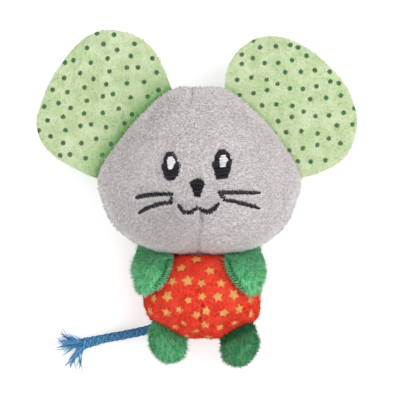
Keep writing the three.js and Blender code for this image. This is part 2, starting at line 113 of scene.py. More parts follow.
# Matt white card. The lift that only the camera sees makes it the photograph's plain white, and
# leaves the toy's soft shadow on it.
def studio_floor():
    tree = new_material("white_card")
    seen = add_node(tree, "ShaderNodeLightPath").outputs["Is Camera Ray"]
    lift = add_node(tree, "ShaderNodeMath", {0: seen, 1: 0.4}, operation="MULTIPLY")
    card = add_node(tree, "ShaderNodeBsdfPrincipled", {
        "Base Color": "#f2f2f2", "Roughness": 0.9, "Emission Color": "#ffffff",
        "Emission Strength": lift})
    add_node(tree, "ShaderNodeOutputMaterial", {"Surface": card})
    mesh = bpy.data.meshes.new("floor")
    mesh.from_pydata([(x * FLOOR_HALF, y * FLOOR_HALF, 0)
                      for x, y in ((-1, -1), (1, -1), (1, 1), (-1, 1))], [], [(0, 1, 2, 3)])
    mesh.materials.append(MATERIALS["white_card"])
    floor = bpy.data.objects.new("floor", mesh)
    floor.location.z = -FLOOR_GAP * MM
    bpy.context.scene.collection.objects.link(floor)


def studio_light():
    world = bpy.data.worlds.new("studio")
    world.use_nodes = True
    tree = world.node_tree
    tree.nodes.clear()
    path = add_node(tree, "ShaderNodeLightPath").outputs
    clear = path["Is Camera Ray"]
    for ray in ("Is Glossy Ray", "Is Transmission Ray"):
        clear = add_node(tree, "ShaderNodeMath", {0: clear, 1: path[ray]}, operation="MAXIMUM")
    strength = add_node(tree, "ShaderNodeMapRange", {0: clear, 3: 0.86, 4: 1.0})
    sky = add_node(tree, "ShaderNodeBackground", {"Color": "#ffffff", "Strength": strength})
    add_node(tree, "ShaderNodeOutputWorld", {"Surface": sky})
    bpy.context.scene.world = world
    for name, place, size, energy in (("key", (0.6, 0.35, 0.85), 0.45, 2.3),
                                      ("fill", (0.2, -0.8, 0.6), 0.6, 1.1)):
        lamp = bpy.data.lights.new(f"{name}_softbox", "AREA")
        lamp.shape = "SQUARE"
        lamp.size = size
        lamp.energy = energy
        softbox = bpy.data.objects.new(f"{name}_softbox", lamp)
        softbox.location = place
        softbox.rotation_euler = (-Vector(place)).to_track_quat("-Z", "Y").to_euler()
        bpy.context.scene.collection.objects.link(softbox)


studio_floor()
studio_light()

# ---------------------------------------------------------------- materials


def grain(tree, size, detail=2, stretch=(1, 1, 1), turn=0.0):
    """Noise with features of a size in mm, drawn out along a turned axis."""
    place = add_node(tree, "ShaderNodeTexCoord").outputs["Object"]
    laid = add_node(tree, "ShaderNodeMapping", {
        "Vector": place, "Rotation": (0, 0, math.radians(-turn)),
        "Scale": [size * s * MM for s in stretch]}, vector_type="TEXTURE")
    return add_node(tree, "ShaderNodeTexNoise", {"Vector": laid, "Scale": 1.0, "Detail": detail})


def painted(tree, ground, *coats):
    """A ground colour under coats of others. A coat is its colour, the mask or the name of the
    attribute that says where it lies, and the mask's values where it starts and is full."""
    for colour, mask, *ends in coats:
        if isinstance(mask, str):
            mask = add_node(tree, "ShaderNodeAttribute", attribute_name=mask).outputs["Fac"]
        if ends:
            mask = add_node(tree, "ShaderNodeMapRange", {0: mask, 1: ends[0], 2: ends[1]},
                            interpolation_type="SMOOTHSTEP")
        ground = add_node(tree, "ShaderNodeMix", {0: mask, 6: ground, 7: colour},
                          data_type="RGBA")
    return ground


def finish(tree, look, relief, depth):
    """Ends a material in its shader, with a bump of so many millimetres from a relief."""
    bump = add_node(tree, "ShaderNodeBump", {"Strength": 1.0, "Distance": depth * MM,
                                             "Height": relief})
    shader = add_node(tree, "ShaderNodeBsdfPrincipled", {**look, "Normal": bump})
    add_node(tree, "ShaderNodeOutputMaterial", {"Surface": shader})


# Brushed polyester plush: hair ends catch the light and the gaps between them are darker. It was
# stroked flat in two directions, so its streaks run steeply on one cheek and across the other.
def grey_plush():
    tree = new_material("grey_plush")
    place = add_node(tree, "ShaderNodeTexCoord").outputs["Object"]
    x = add_node(tree, "ShaderNodeSeparateXYZ", {0: place}).outputs["X"]
    side = add_node(tree, "ShaderNodeMapRange", {0: x, 1: -4 * MM, 2: 9 * MM},
                    interpolation_type="SMOOTHSTEP")
    steep = grain(tree, 0.4, 2, (1, 2.4, 1), turn=-32)
    level = grain(tree, 0.42, 2, (4.2, 1, 1), turn=-3)
    streak = add_node(tree, "ShaderNodeMix", {0: side, 2: steep, 3: level})
    roots = painted(tree, "#c0b8b8", ("#ece6e7", streak, 0.36, 0.64))
    tips = painted(tree, "#ede8e8", ("#ffffff", "tone"))
    pile = painted(tree, "#d3cbcb", (tips, streak, 0.36, 0.64))
    # painted light on the rim, in nearly white, and painted shade beside the muzzle and in the
    # darts
    colour = painted(tree, roots, (pile, "along", 0.0, 0.6),
                     ("#e4dfdf", grain(tree, 9), 0.5, 1.1), ("#fffafa", "painted_rim_light"),
                     ("#777072", "painted_shade"))
    finish(tree, {"Base Color": colour, "Roughness": 0.85, "Specular IOR Level": 0.2,
                  "Sheen Weight": 0.25, "Sheen Roughness": 0.45, "Sheen Tint": "#f4f0f0"},
           grain(tree, 0.3), 0.12)


# Printed velour: a very short dense pile, so the print is slightly frayed. Its root mark paints the
# cloth darker, as painted shade by the head and in creases, and each hair of its pile is a random
# tone darker.
def printed_velour(name, ground, wear_and_shade, ink, deep_shade):
    tree = new_material(name)
    fibre = grain(tree, 0.3, 3)
    # painted shade in the deep colour, where the root mark says
    cloth = painted(tree, ground, (wear_and_shade, grain(tree, 5, 3), 0.35, 0.65), (deep_shade, "root"))
    speckled = painted(tree, ink[0], (ink[1], grain(tree, 0.5), 0.3, 0.7))
    distance = add_node(tree, "ShaderNodeAttribute", attribute_name="print").outputs["Fac"]
    frayed = add_node(tree, "ShaderNodeMath", {0: fibre, 1: distance}, operation="ADD")
    colour = painted(tree, cloth, (speckled, frayed, 0.7, 0.3))
    shade = painted(tree, "#ffffff", ("#e6e6e6", "tone"))
    shaded = add_node(tree, "ShaderNodeMix", {0: 1.0, 6: colour, 7: shade}, data_type="RGBA",
                      blend_type="MULTIPLY")
    finish(tree, {"Base Color": shaded, "Roughness": 0.85, "Specular IOR Level": 0.15,
                  "Sheen Weight": 0.12, "Sheen Roughness": 0.4, "Sheen Tint": wear_and_shade}, fibre, 0.12)


# Longer green plush in rows: darker at the roots and paler at the tips, as painted shade between
# the hairs and painted light on their ends, and painted darker still where the root mark says, as
# painted shade.
def green_plush():
    tree = new_material("green_plush")
    root = painted(tree, "#48b474", ("#7ee0a0", "rows"))
    lit = painted(tree, "#96f0b2", ("#ccfeda", "tone"))
    tip = painted(tree, "#6bd392", (lit, "rows", 0.1, 0.8),
                  ("#94ecb0", grain(tree, 4.5), 0.45, 0.85))
    colour = painted(tree, root, (tip, "along", 0.0, 0.7), ("#1f6b3f", "root"))
    finish(tree, {"Base Color": colour, "Roughness": 0.65, "Specular IOR Level": 0.3,
                  "Sheen Weight": 0.2, "Sheen Roughness": 0.4, "Sheen Tint": "#bfe8c4"},
           grain(tree, 0.3), 0.15)


# Rayon or polyester thread: fine twisted filaments with a soft silky shine.
def thread(name, dark, pale, roughness=0.45):
    tree = new_material(name)
    # painted glints: the twist's noise paints paler flecks along the threads
    twist = grain(tree, 0.16)
    lit = add_node(tree, "ShaderNodeMapRange", {0: twist, 1: 0.3, 2: 0.7},
                   interpolation_type="SMOOTHSTEP")
    tone = add_node(tree, "ShaderNodeAttribute", attribute_name="tone").outputs["Fac"]
    paler = add_node(tree, "ShaderNodeMath", {0: lit, 1: 0.25, 2: tone},
                     operation="MULTIPLY_ADD", use_clamp=True)
    finish(tree, {"Base Color": painted(tree, dark, (pale, paler)), "Roughness": roughness,
                  "Specular IOR Level": 0.12}, twist, 0.05)


# Loose fibre filling, or the plain woven cloth of the sachet, which is never in plain sight.
def plain_cloth(name, dark, pale, size, depth):
    tree = new_material(name)
    weave = grain(tree, size, 3)
    finish(tree, {"Base Color": painted(tree, dark, (pale, weave, 0.3, 0.7)), "Roughness": 0.95,
                  "Specular IOR Level": 0.2}, weave, depth)


grey_plush()
printed_velour("dotted_velour", "#c9deaa", "#dbe9c0", ("#446d48", "#60885f"), "#76b064")
printed_velour("star_velour", "#f7442f", "#ff543d", ("#f6b45c", "#fbc880"), "#b5241d")
green_plush()
thread("black_thread", "#060508", "#38363d")
thread("white_thread", "#dddbe0", "#fbfafc")
thread("green_thread", "#155231", "#2c7d48", 0.6)
plain_cloth("polyester_filling", "#dcdad2", "#f4f3ee", 0.8, 0.3)
plain_cloth("sachet_cloth", "#cfc8b4", "#ece6d6", 0.5, 0.1)
thread("blue_cord", "#15345a", "#66abda", 0.6)

# ---------------------------------------------------------------- node trees


def new_tree(name, **inputs):
    """A geometry tree, and its named inputs, which are given by their kinds."""
    tree = bpy.data.node_groups.new(name, "GeometryNodeTree")
    tree.interface.new_socket("Geometry", in_out="OUTPUT", socket_type="NodeSocketGeometry")
    for kind, names in {"Geometry": ["Geometry"], "Material": ["Material"], **inputs}.items():
        for given in names:
            tree.interface.new_socket(given, in_out="INPUT", socket_type="NodeSocket" + kind)
    return tree, add_node(tree, "NodeGroupInput").outputs


def toned(tree, pieces, seed):
    """Gives each of the pieces that stand on points a tone from 0 to 1."""
    tone = add_node(tree, "FunctionNodeRandomValue", {2: 0.0, 3: 1.0, 8: seed},
                    data_type="FLOAT")
    return add_node(tree, "GeometryNodeStoreNamedAttribute", {
        "Geometry": pieces, "Name": "tone", "Value": tone}, domain="INSTANCE")


def close_tree(tree, pieces, material):
    """Ends a tree in real geometry with its material."""
    real = add_node(tree, "GeometryNodeRealizeInstances", {0: pieces})
    smooth = add_node(tree, "GeometryNodeSetShadeSmooth", {0: real})
    coated = add_node(tree, "GeometryNodeSetMaterial", {0: smooth, "Material": material})
    add_node(tree, "NodeGroupOutput", {0: coated})
    return tree


def pile_tree():
    """Plush: tapered hairs that stand on a cloth and lean the way it was stroked."""
    tree, given = new_tree("pile", Float=("Density", "Length", "Longest", "Width", "Lean",
                                          "Ruffle", "Curl"), Int=("Segments", "Seed"))
    seed = given["Seed"]
    share = add_node(tree, "GeometryNodeInputNamedAttribute", {"Name": "pile"})
    density = add_node(tree, "ShaderNodeMath", {0: share, 1: given["Density"]},
                       operation="MULTIPLY")
    roots = add_node(tree, "GeometryNodeDistributePointsOnFaces", {
        "Mesh": given["Geometry"], "Density": density, "Seed": seed})
    comb = add_node(tree, "GeometryNodeInputNamedAttribute", {"Name": "comb"},
                    data_type="FLOAT_VECTOR")
    stray = add_node(tree, "FunctionNodeRandomValue", {0: (-1, -1, -1), 1: (1, 1, 1), 8: seed},
                     data_type="FLOAT_VECTOR")
    growing = roots.outputs["Normal"]
    for way, amount in ((comb, "Lean"), (stray, "Ruffle")):
        part = add_node(tree, "ShaderNodeVectorMath", {0: way, 3: given[amount]},
                        operation="SCALE")
        growing = add_node(tree, "ShaderNodeVectorMath", {0: growing, 1: part})
    spin = add_node(tree, "FunctionNodeRandomValue", {0: (0, 0, 0), 1: (0, 0, math.tau),
                                                      8: seed}, data_type="FLOAT_VECTOR")
    turn = add_node(tree, "FunctionNodeAlignRotationToVector", {
        "Rotation": spin, "Vector": growing}, axis="Z")
    hair = add_node(tree, "GeometryNodeMeshCone", {
        "Vertices": 3, "Side Segments": given["Segments"], "Radius Top": 0.0,
        "Radius Bottom": given["Width"], "Depth": given["Length"]}, fill_type="NONE")
    place = add_node(tree, "GeometryNodeInputPosition")
    height = add_node(tree, "ShaderNodeSeparateXYZ", {0: place}).outputs["Z"]
    along = add_node(tree, "ShaderNodeMath", {0: height, 1: given["Length"]},
                     operation="DIVIDE")
    marked = add_node(tree, "GeometryNodeStoreNamedAttribute", {
        "Geometry": hair, "Name": "along", "Value": along})
    bow = add_node(tree, "ShaderNodeMath", {0: along, 1: 2.0}, operation="POWER")
    aside = add_node(tree, "ShaderNodeMath", {0: bow, 1: given["Curl"]}, operation="MULTIPLY")
    shift = add_node(tree, "ShaderNodeCombineXYZ", {0: aside})
    bent = add_node(tree, "GeometryNodeSetPosition", {"Geometry": marked, "Offset": shift})
    # most hairs are near the given length, and a few stray ones are much longer
    drawn = add_node(tree, "FunctionNodeRandomValue", {2: 0.0, 3: 1.0, 8: seed},
                     data_type="FLOAT")
    rare = add_node(tree, "ShaderNodeMath", {0: drawn, 1: 3.0}, operation="POWER")
    size = add_node(tree, "ShaderNodeMapRange", {
        "Value": rare, "To Min": 0.7, "To Max": given["Longest"]})
    hairs = add_node(tree, "GeometryNodeInstanceOnPoints", {
        "Points": roots, "Instance": bent, "Rotation": turn, "Scale": size})
    return close_tree(tree, toned(tree, hairs, seed), given["Material"])


def satin_tree():
    """Satin stitch: threads laid side by side across a line, each arched over it."""
    tree, given = new_tree("satin_stitch", Float=("Spacing", "Thread", "Lift", "Ragged"),
                           Int=("Seed",))
    line = add_node(tree, "GeometryNodeMeshToCurve", {0: given["Geometry"]})
    up, across = (add_node(tree, "GeometryNodeInputNamedAttribute", {"Name": name},
                           data_type="FLOAT_VECTOR") for name in ("up", "across"))
    span = add_node(tree, "GeometryNodeInputNamedAttribute", {"Name": "span"})
    stitches = add_node(tree, "GeometryNodeResampleCurve", {
        "Curve": line, "Length": given["Spacing"]}, mode="LENGTH")
    rise = add_node(tree, "ShaderNodeVectorMath", {0: up, 3: given["Lift"]}, operation="SCALE")
    raised = add_node(tree, "GeometryNodeSetPosition", {"Geometry": stitches, "Offset": rise})
    flat = add_node(tree, "GeometryNodeCurvePrimitiveLine", {"Start": (-0.5, 0, 0),
                                                             "End": (0.5, 0, 0)})
    parted = add_node(tree, "GeometryNodeResampleCurve", {"Curve": flat, "Count": 9})
    ring = add_node(tree, "GeometryNodeCurvePrimitiveCircle", {"Resolution": 5, "Radius": 0.5})
    rod = add_node(tree, "GeometryNodeCurveToMesh", {
        "Curve": parted, "Profile Curve": ring, "Fill Caps": True})
    place = add_node(tree, "GeometryNodeInputPosition")
    out = add_node(tree, "ShaderNodeSeparateXYZ", {0: place}).outputs["X"]
    squared = add_node(tree, "ShaderNodeMath", {0: out, 1: out}, operation="MULTIPLY")
    fall = add_node(tree, "ShaderNodeMath", {0: squared, 1: -2.6, 2: 0.5},
                    operation="MULTIPLY_ADD")
    drop = add_node(tree, "ShaderNodeCombineXYZ", {2: fall})
    strand = add_node(tree, "GeometryNodeSetPosition", {"Geometry": rod, "Offset": drop})
    uneven = add_node(tree, "FunctionNodeRandomValue", {2: -1.0, 3: 1.0, 8: given["Seed"]},
                      data_type="FLOAT")
    ragged = add_node(tree, "ShaderNodeMath", {0: uneven, 1: given["Ragged"], 2: span},
                      operation="MULTIPLY_ADD")
    size = add_node(tree, "ShaderNodeCombineXYZ", {0: ragged, 1: given["Thread"],
                                                   2: given["Thread"]})
    turn = add_node(tree, "FunctionNodeAxesToRotation", {0: across, 1: up}, primary_axis="X",
                    secondary_axis="Z")
    sewn = add_node(tree, "GeometryNodeInstanceOnPoints", {
        "Points": raised, "Instance": strand, "Rotation": turn, "Scale": size})
    return close_tree(tree, toned(tree, sewn, given["Seed"]), given["Material"])


def yarn_tree():
    """Yarn: round strands along lines, each as thick as its line says."""
    tree, given = new_tree("yarn", Int=("Sides",))
    girth = add_node(tree, "GeometryNodeInputNamedAttribute", {"Name": "girth"})
    lines = add_node(tree, "GeometryNodeMeshToCurve", {0: given["Geometry"]})
    ring = add_node(tree, "GeometryNodeCurvePrimitiveCircle", {"Resolution": given["Sides"],
                                                               "Radius": 0.5})
    strands = add_node(tree, "GeometryNodeCurveToMesh", {
        "Curve": lines, "Profile Curve": ring, "Scale": girth, "Fill Caps": True})
    return close_tree(tree, strands, given["Material"])


PILE = pile_tree()
SATIN = satin_tree()
YARN = yarn_tree()

# ---------------------------------------------------------------- meshes


def frame_points(points):
    """Points in mm from the chin, as the frame's metres."""
    return (np.asarray(points, float).reshape(-1, 3) + CHIN) * MM


def new_piece(name, points, edges=(), faces=(), marks=None, material=None):
    """A mesh in the frame, with a value or a vector for each point under each mark's name."""
    mesh = bpy.data.meshes.new(name)
    mesh.from_pydata(frame_points(points).tolist(), edges, faces)
    for mark, values in (marks or {}).items():
        values = np.asarray(values, np.float32)
        kind, field = ("FLOAT_VECTOR", "vector") if values.ndim > 1 else ("FLOAT", "value")
        mesh.attributes.new(mark, kind, "POINT").data.foreach_set(field, values.ravel())
    if faces:
        mesh.shade_smooth()
    if material:
        mesh.materials.append(MATERIALS[material])
    piece = bpy.data.objects.new(name, mesh)
    bpy.context.scene.collection.objects.link(piece)
    return piece


def grown(base, name, tree, material, **sizes):
    """What a node tree makes of a piece, as a plain mesh of its own."""
    worker = base.copy()
    worker.data = base.data.copy()
    bpy.context.scene.collection.objects.link(worker)
    modifier = worker.modifiers.new(tree.name, "NODES")
    modifier.node_group = tree
    sockets = {item.name: item.identifier for item in tree.interface.items_tree
               if item.in_out == "INPUT"}
    modifier[sockets["Material"]] = MATERIALS[material]
    for size, value in sizes.items():
        modifier[sockets[size]] = value
    graph = bpy.context.evaluated_depsgraph_get()
    mesh = bpy.data.meshes.new_from_object(
        worker.evaluated_get(graph), preserve_all_data_layers=True, depsgraph=graph)
    bpy.data.objects.remove(worker)
    mesh.name = name
    piece = bpy.data.objects.new(name, mesh)
    bpy.context.scene.collection.objects.link(piece)
    return piece


def made_of_lines(name, lines, tree, material, marks, **sizes):
    """Grows a piece on open lines of points. Each mark holds one value for each point."""
    points = np.concatenate(lines)
    edges, first = [], 0
    for line in lines:
        edges += [(i, i + 1) for i in range(first, first + len(line) - 1)]
        first += len(line)
    base = new_piece(name + "_lines", points, edges, marks=marks)
    piece = grown(base, name, tree, material, **sizes)
    bpy.data.objects.remove(base)
    return piece


def settle(piece, rides, nodes=()):
    """Parents a piece to the body it moves with, or bakes its place in, and hides its CAD nodes."""
    if isinstance(rides, str):
        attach(piece, rides)
    else:
        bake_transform(piece)
    if nodes:
        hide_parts(*nodes)
    return piece


# ---------------------------------------------------------------- lines


def smoothstep(value, low, high):
    t = np.clip((value - low) / (high - low), 0, 1)
    return t * t * (3 - 2 * t)


def falloff(distance, reach):
    """1 where the distance is 0, falling softly to nearly 0 at twice the reach."""
    return np.exp(-(distance / reach) ** 2)


def unit(vectors, least=1e-9):
    """The vectors at a length of 1, and shorter where theirs is under the least."""
    return vectors / np.maximum(np.linalg.norm(vectors, axis=-1, keepdims=True), least)


def smooth_line(points, closed=False, steps=24):
    """A centripetal Catmull-Rom line through points."""
    p = np.asarray(points, float)
    n = len(p)
    if closed:
        ends = [(p[i - 1], p[i], p[(i + 1) % n], p[(i + 2) % n]) for i in range(n)]
    else:
        p = np.vstack([2 * p[0] - p[1], p, 2 * p[-1] - p[-2]])
        ends = [tuple(p[i:i + 4]) for i in range(n - 1)]
    t = np.linspace(0, 1, steps, endpoint=False)[:, None]
    line = []
    for a, b, c, d in ends:
        ab, bc, cd = (max(np.linalg.norm(w - v) ** 0.5, 1e-4) for v, w in ((a, b), (b, c), (c, d)))
        out = ((b - a) / ab - (c - a) / (ab + bc) + (c - b) / bc) * bc
        into = ((c - b) / bc - (d - b) / (bc + cd) + (d - c) / cd) * bc
        line.append(b + out * t + (3 * (c - b) - 2 * out - into) * t ** 2
                    + (2 * (b - c) + out + into) * t ** 3)
    return np.vstack(line if closed else line + [p[-2:-1]])


def even_line(line, spacing):
    """The line again, with its points evenly spaced."""
    steps = np.linalg.norm(np.diff(line, axis=0), axis=1)
    length = np.concatenate([[0], np.cumsum(steps)])
    at = np.linspace(0, length[-1], max(2, round(length[-1] / spacing) + 1))
    return np.column_stack([np.interp(at, length, line[:, k]) for k in range(line.shape[1])])


# ---------------------------------------------------------------- tail: a braided cord

TAIL_ROUTE = [
    (-14.7, -26.8, 9.6), (-16.8, -28.3, 8.0), (-19.1, -29.4, 6.5), (-21.7, -30.25, 5.0),
    (-24.7, -31.0, 3.7), (-28.0, -31.7, 2.6), (-31.8, -32.5, 2.02), (-36.0, -33.2, 1.87),
    (-40.2, -34.1, 1.85), (-43.9, -35.0, 1.85),
]
TAIL_END = np.array(TAIL_ROUTE[-1])
TAIL_HEADING = math.radians(194)  # which way its end points
TAIL_STEP = 0.16  # from point to point of a strand
FRAYING = 3.6  # how far the yarns still lie together beyond the cord's end
# most yarns fall to the left or down, and a few curl up: what share of them, the heading and its
# spread in degrees, and the greatest length
FALLS = [(0.5, 180, 10, 15.2), (0.38, 240, 9, 15.8), (0.12, 152, 7, 10.5)]


def braid_tail():
    """Pale strands wound one way round a core and dark ones the other, over and under. What lies
    beyond the cord's end belongs to the yarns."""
    outwards = np.array((math.cos(TAIL_HEADING), math.sin(TAIL_HEADING), 0))
    whole = even_line(smooth_line([*TAIL_ROUTE, TAIL_END + outwards * FRAYING]), TAIL_STEP)
    last = int(np.argmin(np.linalg.norm(whole - TAIL_END, axis=1)))
    along = unit(np.gradient(whole, axis=0))
    side = unit(np.cross(along, (0, 0, 1)))
    above = np.cross(side, along)
    travelled = np.arange(len(whole)) * TAIL_STEP
    winding, strands, thick, core = 5.6, 5, 0.98, 2.1
    # it opens a little before its end
    swell = 1 + 0.3 * np.clip((travelled - last * TAIL_STEP + 6) / 8, 0, 1) ** 2
    rng = np.random.default_rng(5)
    lines, girths, tones = [], [], []
    for way in (1, -1):
        for k in range(strands):
            angle = way * math.tau * travelled / winding + math.tau * k / strands
            weave = way * (-1) ** k * np.cos(math.tau * strands * travelled / winding)
            out = (1.3 + 0.18 * weave) * swell
            lines.append(whole + side * (out * np.cos(angle))[:, None]
                         + above * (out * np.sin(angle))[:, None])
            girths.append(thick * MM * swell)
            tone = rng.uniform(0.55, 0.85) if way == 1 else 0.2
            # painted shade: the strands are darker near the foot, where the cord leaves it
            tones.append(tone * np.interp(travelled, (0, 22, 30), (0.45, 0.8, 1.0)))
    lines.append(whole)
    girths.append(core * MM * swell)
    tones.append(np.zeros(len(whole)))
    for line in lines:
        line[:, 2] = np.maximum(line[:, 2], 0.5)
    braid = made_of_lines("tail_braid", [line[:last + 1] for line in lines], YARN, "blue_cord", {
        "girth": np.concatenate([g[:last + 1] for g in girths]),
        "tone": np.concatenate([t[:last + 1] for t in tones])}, Sides=7)
    rest = [(line[last:], g[last:] * np.linspace(1, 0.75, len(g) - last), t[last:])
            for line, g, t in zip(lines, girths, tones)]
    return braid, whole[:last + 1], rest


def fray_tail(rest):
    """The cord's own yarns, come loose at its end, after what rests of the braid."""
    rng = np.random.default_rng(11)
    yarns, places = 92, 14
    ahead = np.array((math.cos(TAIL_HEADING), math.sin(TAIL_HEADING)))
    lines, girths, tones = (list(part) for part in zip(*rest))
    for _ in range(yarns):
        _, middle, spread, longest = FALLS[rng.choice(len(FALLS), p=[f[0] for f in FALLS])]
        heading = math.radians(rng.normal(middle, spread))
        length = rng.uniform(0.72, 1.0) * longest
        t = np.linspace(0, 1, places)
        ring, out = rng.uniform(0, math.tau), rng.uniform(0, 1.9)
        across = out * math.cos(ring)
        start = TAIL_END + np.array((-across * ahead[1], across * ahead[0],
                                     0.8 * out * math.sin(ring)))
        start[:2] -= rng.uniform(-0.5, 1.8) * ahead
        parted = smoothstep(t * length, 0.6 * FRAYING, 2 * FRAYING)
        turn = TAIL_HEADING * (1 - parted) + heading * parted + rng.normal(0, 0.35) * t ** 2
        turn = turn + rng.uniform(0.1, 0.4) * np.sin(t * rng.uniform(5, 12) + ring) * t
        step = length / (places - 1)
        x = start[0] + np.concatenate([[0], np.cumsum(np.cos(turn[1:]) * step)])
        y = start[1] + np.concatenate([[0], np.cumsum(np.sin(turn[1:]) * step)])
        tip = rng.uniform(0.3, 2.6)
        z = np.maximum(start[2] * (1 - t) + tip * t + 0.3 * np.sin(t * 7 + ring), 0.25)
        lines.append(np.column_stack([x, y, z]))
        girths.append(rng.uniform(0.34, 0.52) * MM * (1 - 0.5 * t ** 3))
        tones.append(np.full(places, rng.choice((0.25, 0.7, 0.95, 1.0))))
    return made_of_lines("tail_yarns", lines, YARN, "blue_cord", {
        "girth": np.concatenate(girths), "tone": np.concatenate(tones)}, Sides=5)


tail_braid, tail_route, tail_rest = braid_tail()
tail_yarns = fray_tail(tail_rest)
settle(tail_braid, "torso", ["tail_cord"])
settle(tail_yarns, "torso", ["tail_frayed_end"])

# ---------------------------------------------------------------- outlines and cloth surfaces


class Outline:
    """A closed line in the plan: how far it lies from its centre at each angle."""

    def __init__(self, line, centre):
        spokes = np.asarray(line) - centre
        angles = np.arctan2(spokes[:, 1], spokes[:, 0])
        order = np.argsort(angles)
        self.centre = np.asarray(centre, float)
        self.angles = angles[order]
        self.radii = np.hypot(spokes[:, 0], spokes[:, 1])[order]

    def reach(self, angle):
        return np.interp(angle, self.angles, self.radii, period=math.tau)

    def share(self, x, y):
        """0 at the centre, 1 on the line."""
        dx, dy = x - self.centre[0], y - self.centre[1]
        return np.hypot(dx, dy) / self.reach(np.arctan2(dy, dx))

    def moved_out(self, distance):
        other = copy(self)
        other.radii = self.radii + distance
        return other

    def cut_by(self, other, share):
        """The line again, kept out of another one's inside."""
        steps = np.linspace(0, 1, 300)
        out = self.radii[:, None] * steps
        x = self.centre[0] + out * np.cos(self.angles)[:, None]
        y = self.centre[1] + out * np.sin(self.angles)[:, None]
        inside = other.share(x, y) < share
        first = np.where(inside.any(1), inside.argmax(1), len(steps) - 1)
        cut = copy(self)
        cut.radii = self.radii * steps[first]
        return cut


def mirrored(shares, width, height, middle, base):
    """A line that is the same on both sides, from shares of half its width and of its height."""
    half = [(x * width / 2, base + y * height) for x, y in shares]
    other = [(-x, y) for x, y in reversed(half[1:-1])]
    return [(middle + x, y) for x, y in half + other]


def crown(share, fullness, edge):
    """How high a stuffed form is, from 1 in its middle to 0 at its seam."""
    return np.maximum(0, 1 - np.minimum(share, 1) ** fullness) ** edge


def way_along(x, y, start, way):
    """How far a place lies from a start along a way."""
    return (x - start[0]) * way[0] + (y - start[1]) * way[1]


def near_line(x, y, line):
    """The distance to a line of points, and how far along it the nearest place is."""
    best = np.full(np.shape(x), np.inf)
    at = np.zeros(np.shape(x))
    line = np.asarray(line, float)
    for i in range(len(line) - 1):
        a, step = line[i], line[i + 1] - line[i]
        t = np.clip(((x - a[0]) * step[0] + (y - a[1]) * step[1]) / (step @ step), 0, 1)
        far = np.hypot(x - a[0] - t * step[0], y - a[1] - t * step[1])
        at = np.where(far < best, (i + t) / (len(line) - 1), at)
        best = np.minimum(best, far)
    return best, at


def lumps(points, size, seed):
    """Soft unevenness from -1 to 1, with features of a size in mm."""
    flat = points.reshape(-1, 3) / size + seed * 17.3
    return np.array([noise.noise(Vector(p)) for p in flat]).reshape(points.shape[:-1])


def grid_faces(cells):
    """The faces of a square grid."""
    first = (np.arange(cells)[:, None] * (cells + 1) + np.arange(cells)).ravel()
    return np.column_stack([first, first + 1, first + cells + 2, first + cells + 1])


def grid_rim(cells):
    """The points round a square grid, in order."""
    row = np.arange(cells)
    return np.concatenate([row, row * (cells + 1) + cells, (cells + 1) * cells + cells - row,
                           (cells - row) * (cells + 1)])


def regrid(values, cells):
    """A square grid of values on a grid with another number of cells."""
    at = np.linspace(0, len(values) - 1, cells + 1)
    low = np.minimum(at.astype(int), len(values) - 2)
    rest = at - low
    rows = values[low] + (values[low + 1] - values[low]) * rest[:, None, None]
    return rows[:, low] + (rows[:, low + 1] - rows[:, low]) * rest[None, :, None]


def joined_halves(front, back):
    """Points and faces of a closed form from two square grids that share their rim."""
    cells = len(front) - 1
    count = (cells + 1) ** 2
    rim = grid_rim(cells)
    low = np.arange(count) + count
    low[rim] = rim
    kept = np.setdiff1d(np.arange(2 * count), rim + count)
    number = np.zeros(2 * count, int)
    number[kept] = np.arange(len(kept))
    quads = grid_faces(cells)
    faces = number[np.concatenate([quads, low[quads[:, ::-1]]])]
    points = np.concatenate([front.reshape(-1, 3), back.reshape(-1, 3)])[kept]
    return points, faces, rim, low, number


class Cloth:
    """A panel: a square grid of so many cells along its side, pulled out over an outline, and
    closer together towards its rim. Its height is given at x, y and its share of the way out."""

    def __init__(self, outline, cells, height, up=True):
        line = np.linspace(-1, 1, cells + 1)
        a, b = np.meshgrid(line, line)
        wide = np.abs(a) >= np.abs(b)
        out = np.where(wide, a, b)
        safe = np.where(out == 0, 1, out)
        angle = np.where(wide, b / safe, 2 - a / safe) * math.pi / 4 + (out < 0) * math.pi
        self.u = np.sin(np.abs(out) * math.pi / 2)
        self.angle = angle
        self.cells, self.up = cells, up
        reach = self.u * outline.reach(angle)
        self.centre = outline.centre
        self.x = outline.centre[0] + reach * np.cos(angle)
        self.y = outline.centre[1] + reach * np.sin(angle)
        self.points = np.stack([self.x, self.y, height(self.x, self.y, self.u)], axis=-1)

    def normals(self):
        across, along = (np.gradient(self.points, axis=axis) for axis in (1, 0))
        return unit(np.cross(across, along) * (1 if self.up else -1))

    def push(self, amount):
        """Moves the cloth outwards by so many millimetres at each point."""
        self.points = self.points + self.normals() * amount[..., None]

    def faces(self):
        quads = grid_faces(self.cells)
        return quads if self.up else quads[:, ::-1]

    def tree(self):
        return BVHTree.FromPolygons(
            [Vector(p) for p in self.points.reshape(-1, 3)], self.faces().tolist())

    def piece(self, name, material, thickness, marks, inner=None):
        """The panel as a closed shell, of a thickness or with its inner side given. Marks are
        values for each point of its outer side."""
        if inner is None:
            inner = self.points - self.normals() * thickness
        count = (self.cells + 1) ** 2
        outside = self.faces()
        rim = grid_rim(self.cells)
        following = np.roll(rim, -1)
        edge = np.column_stack([following, rim, rim + count, following + count])
        faces = np.concatenate([outside, outside[:, ::-1] + count,
                                edge if self.up else edge[:, ::-1]])
        both = {}
        for mark, values in marks.items():
            flat = np.asarray(values, float).reshape(count, -1)
            hidden = flat * 0 if mark == "pile" else flat
            both[mark] = np.concatenate([flat, hidden]).squeeze()
        points = np.concatenate([self.points.reshape(-1, 3), inner.reshape(-1, 3)])
        return new_piece(name, points, (), faces.tolist(), both, material)


PLUMPING_FRAMES = 20


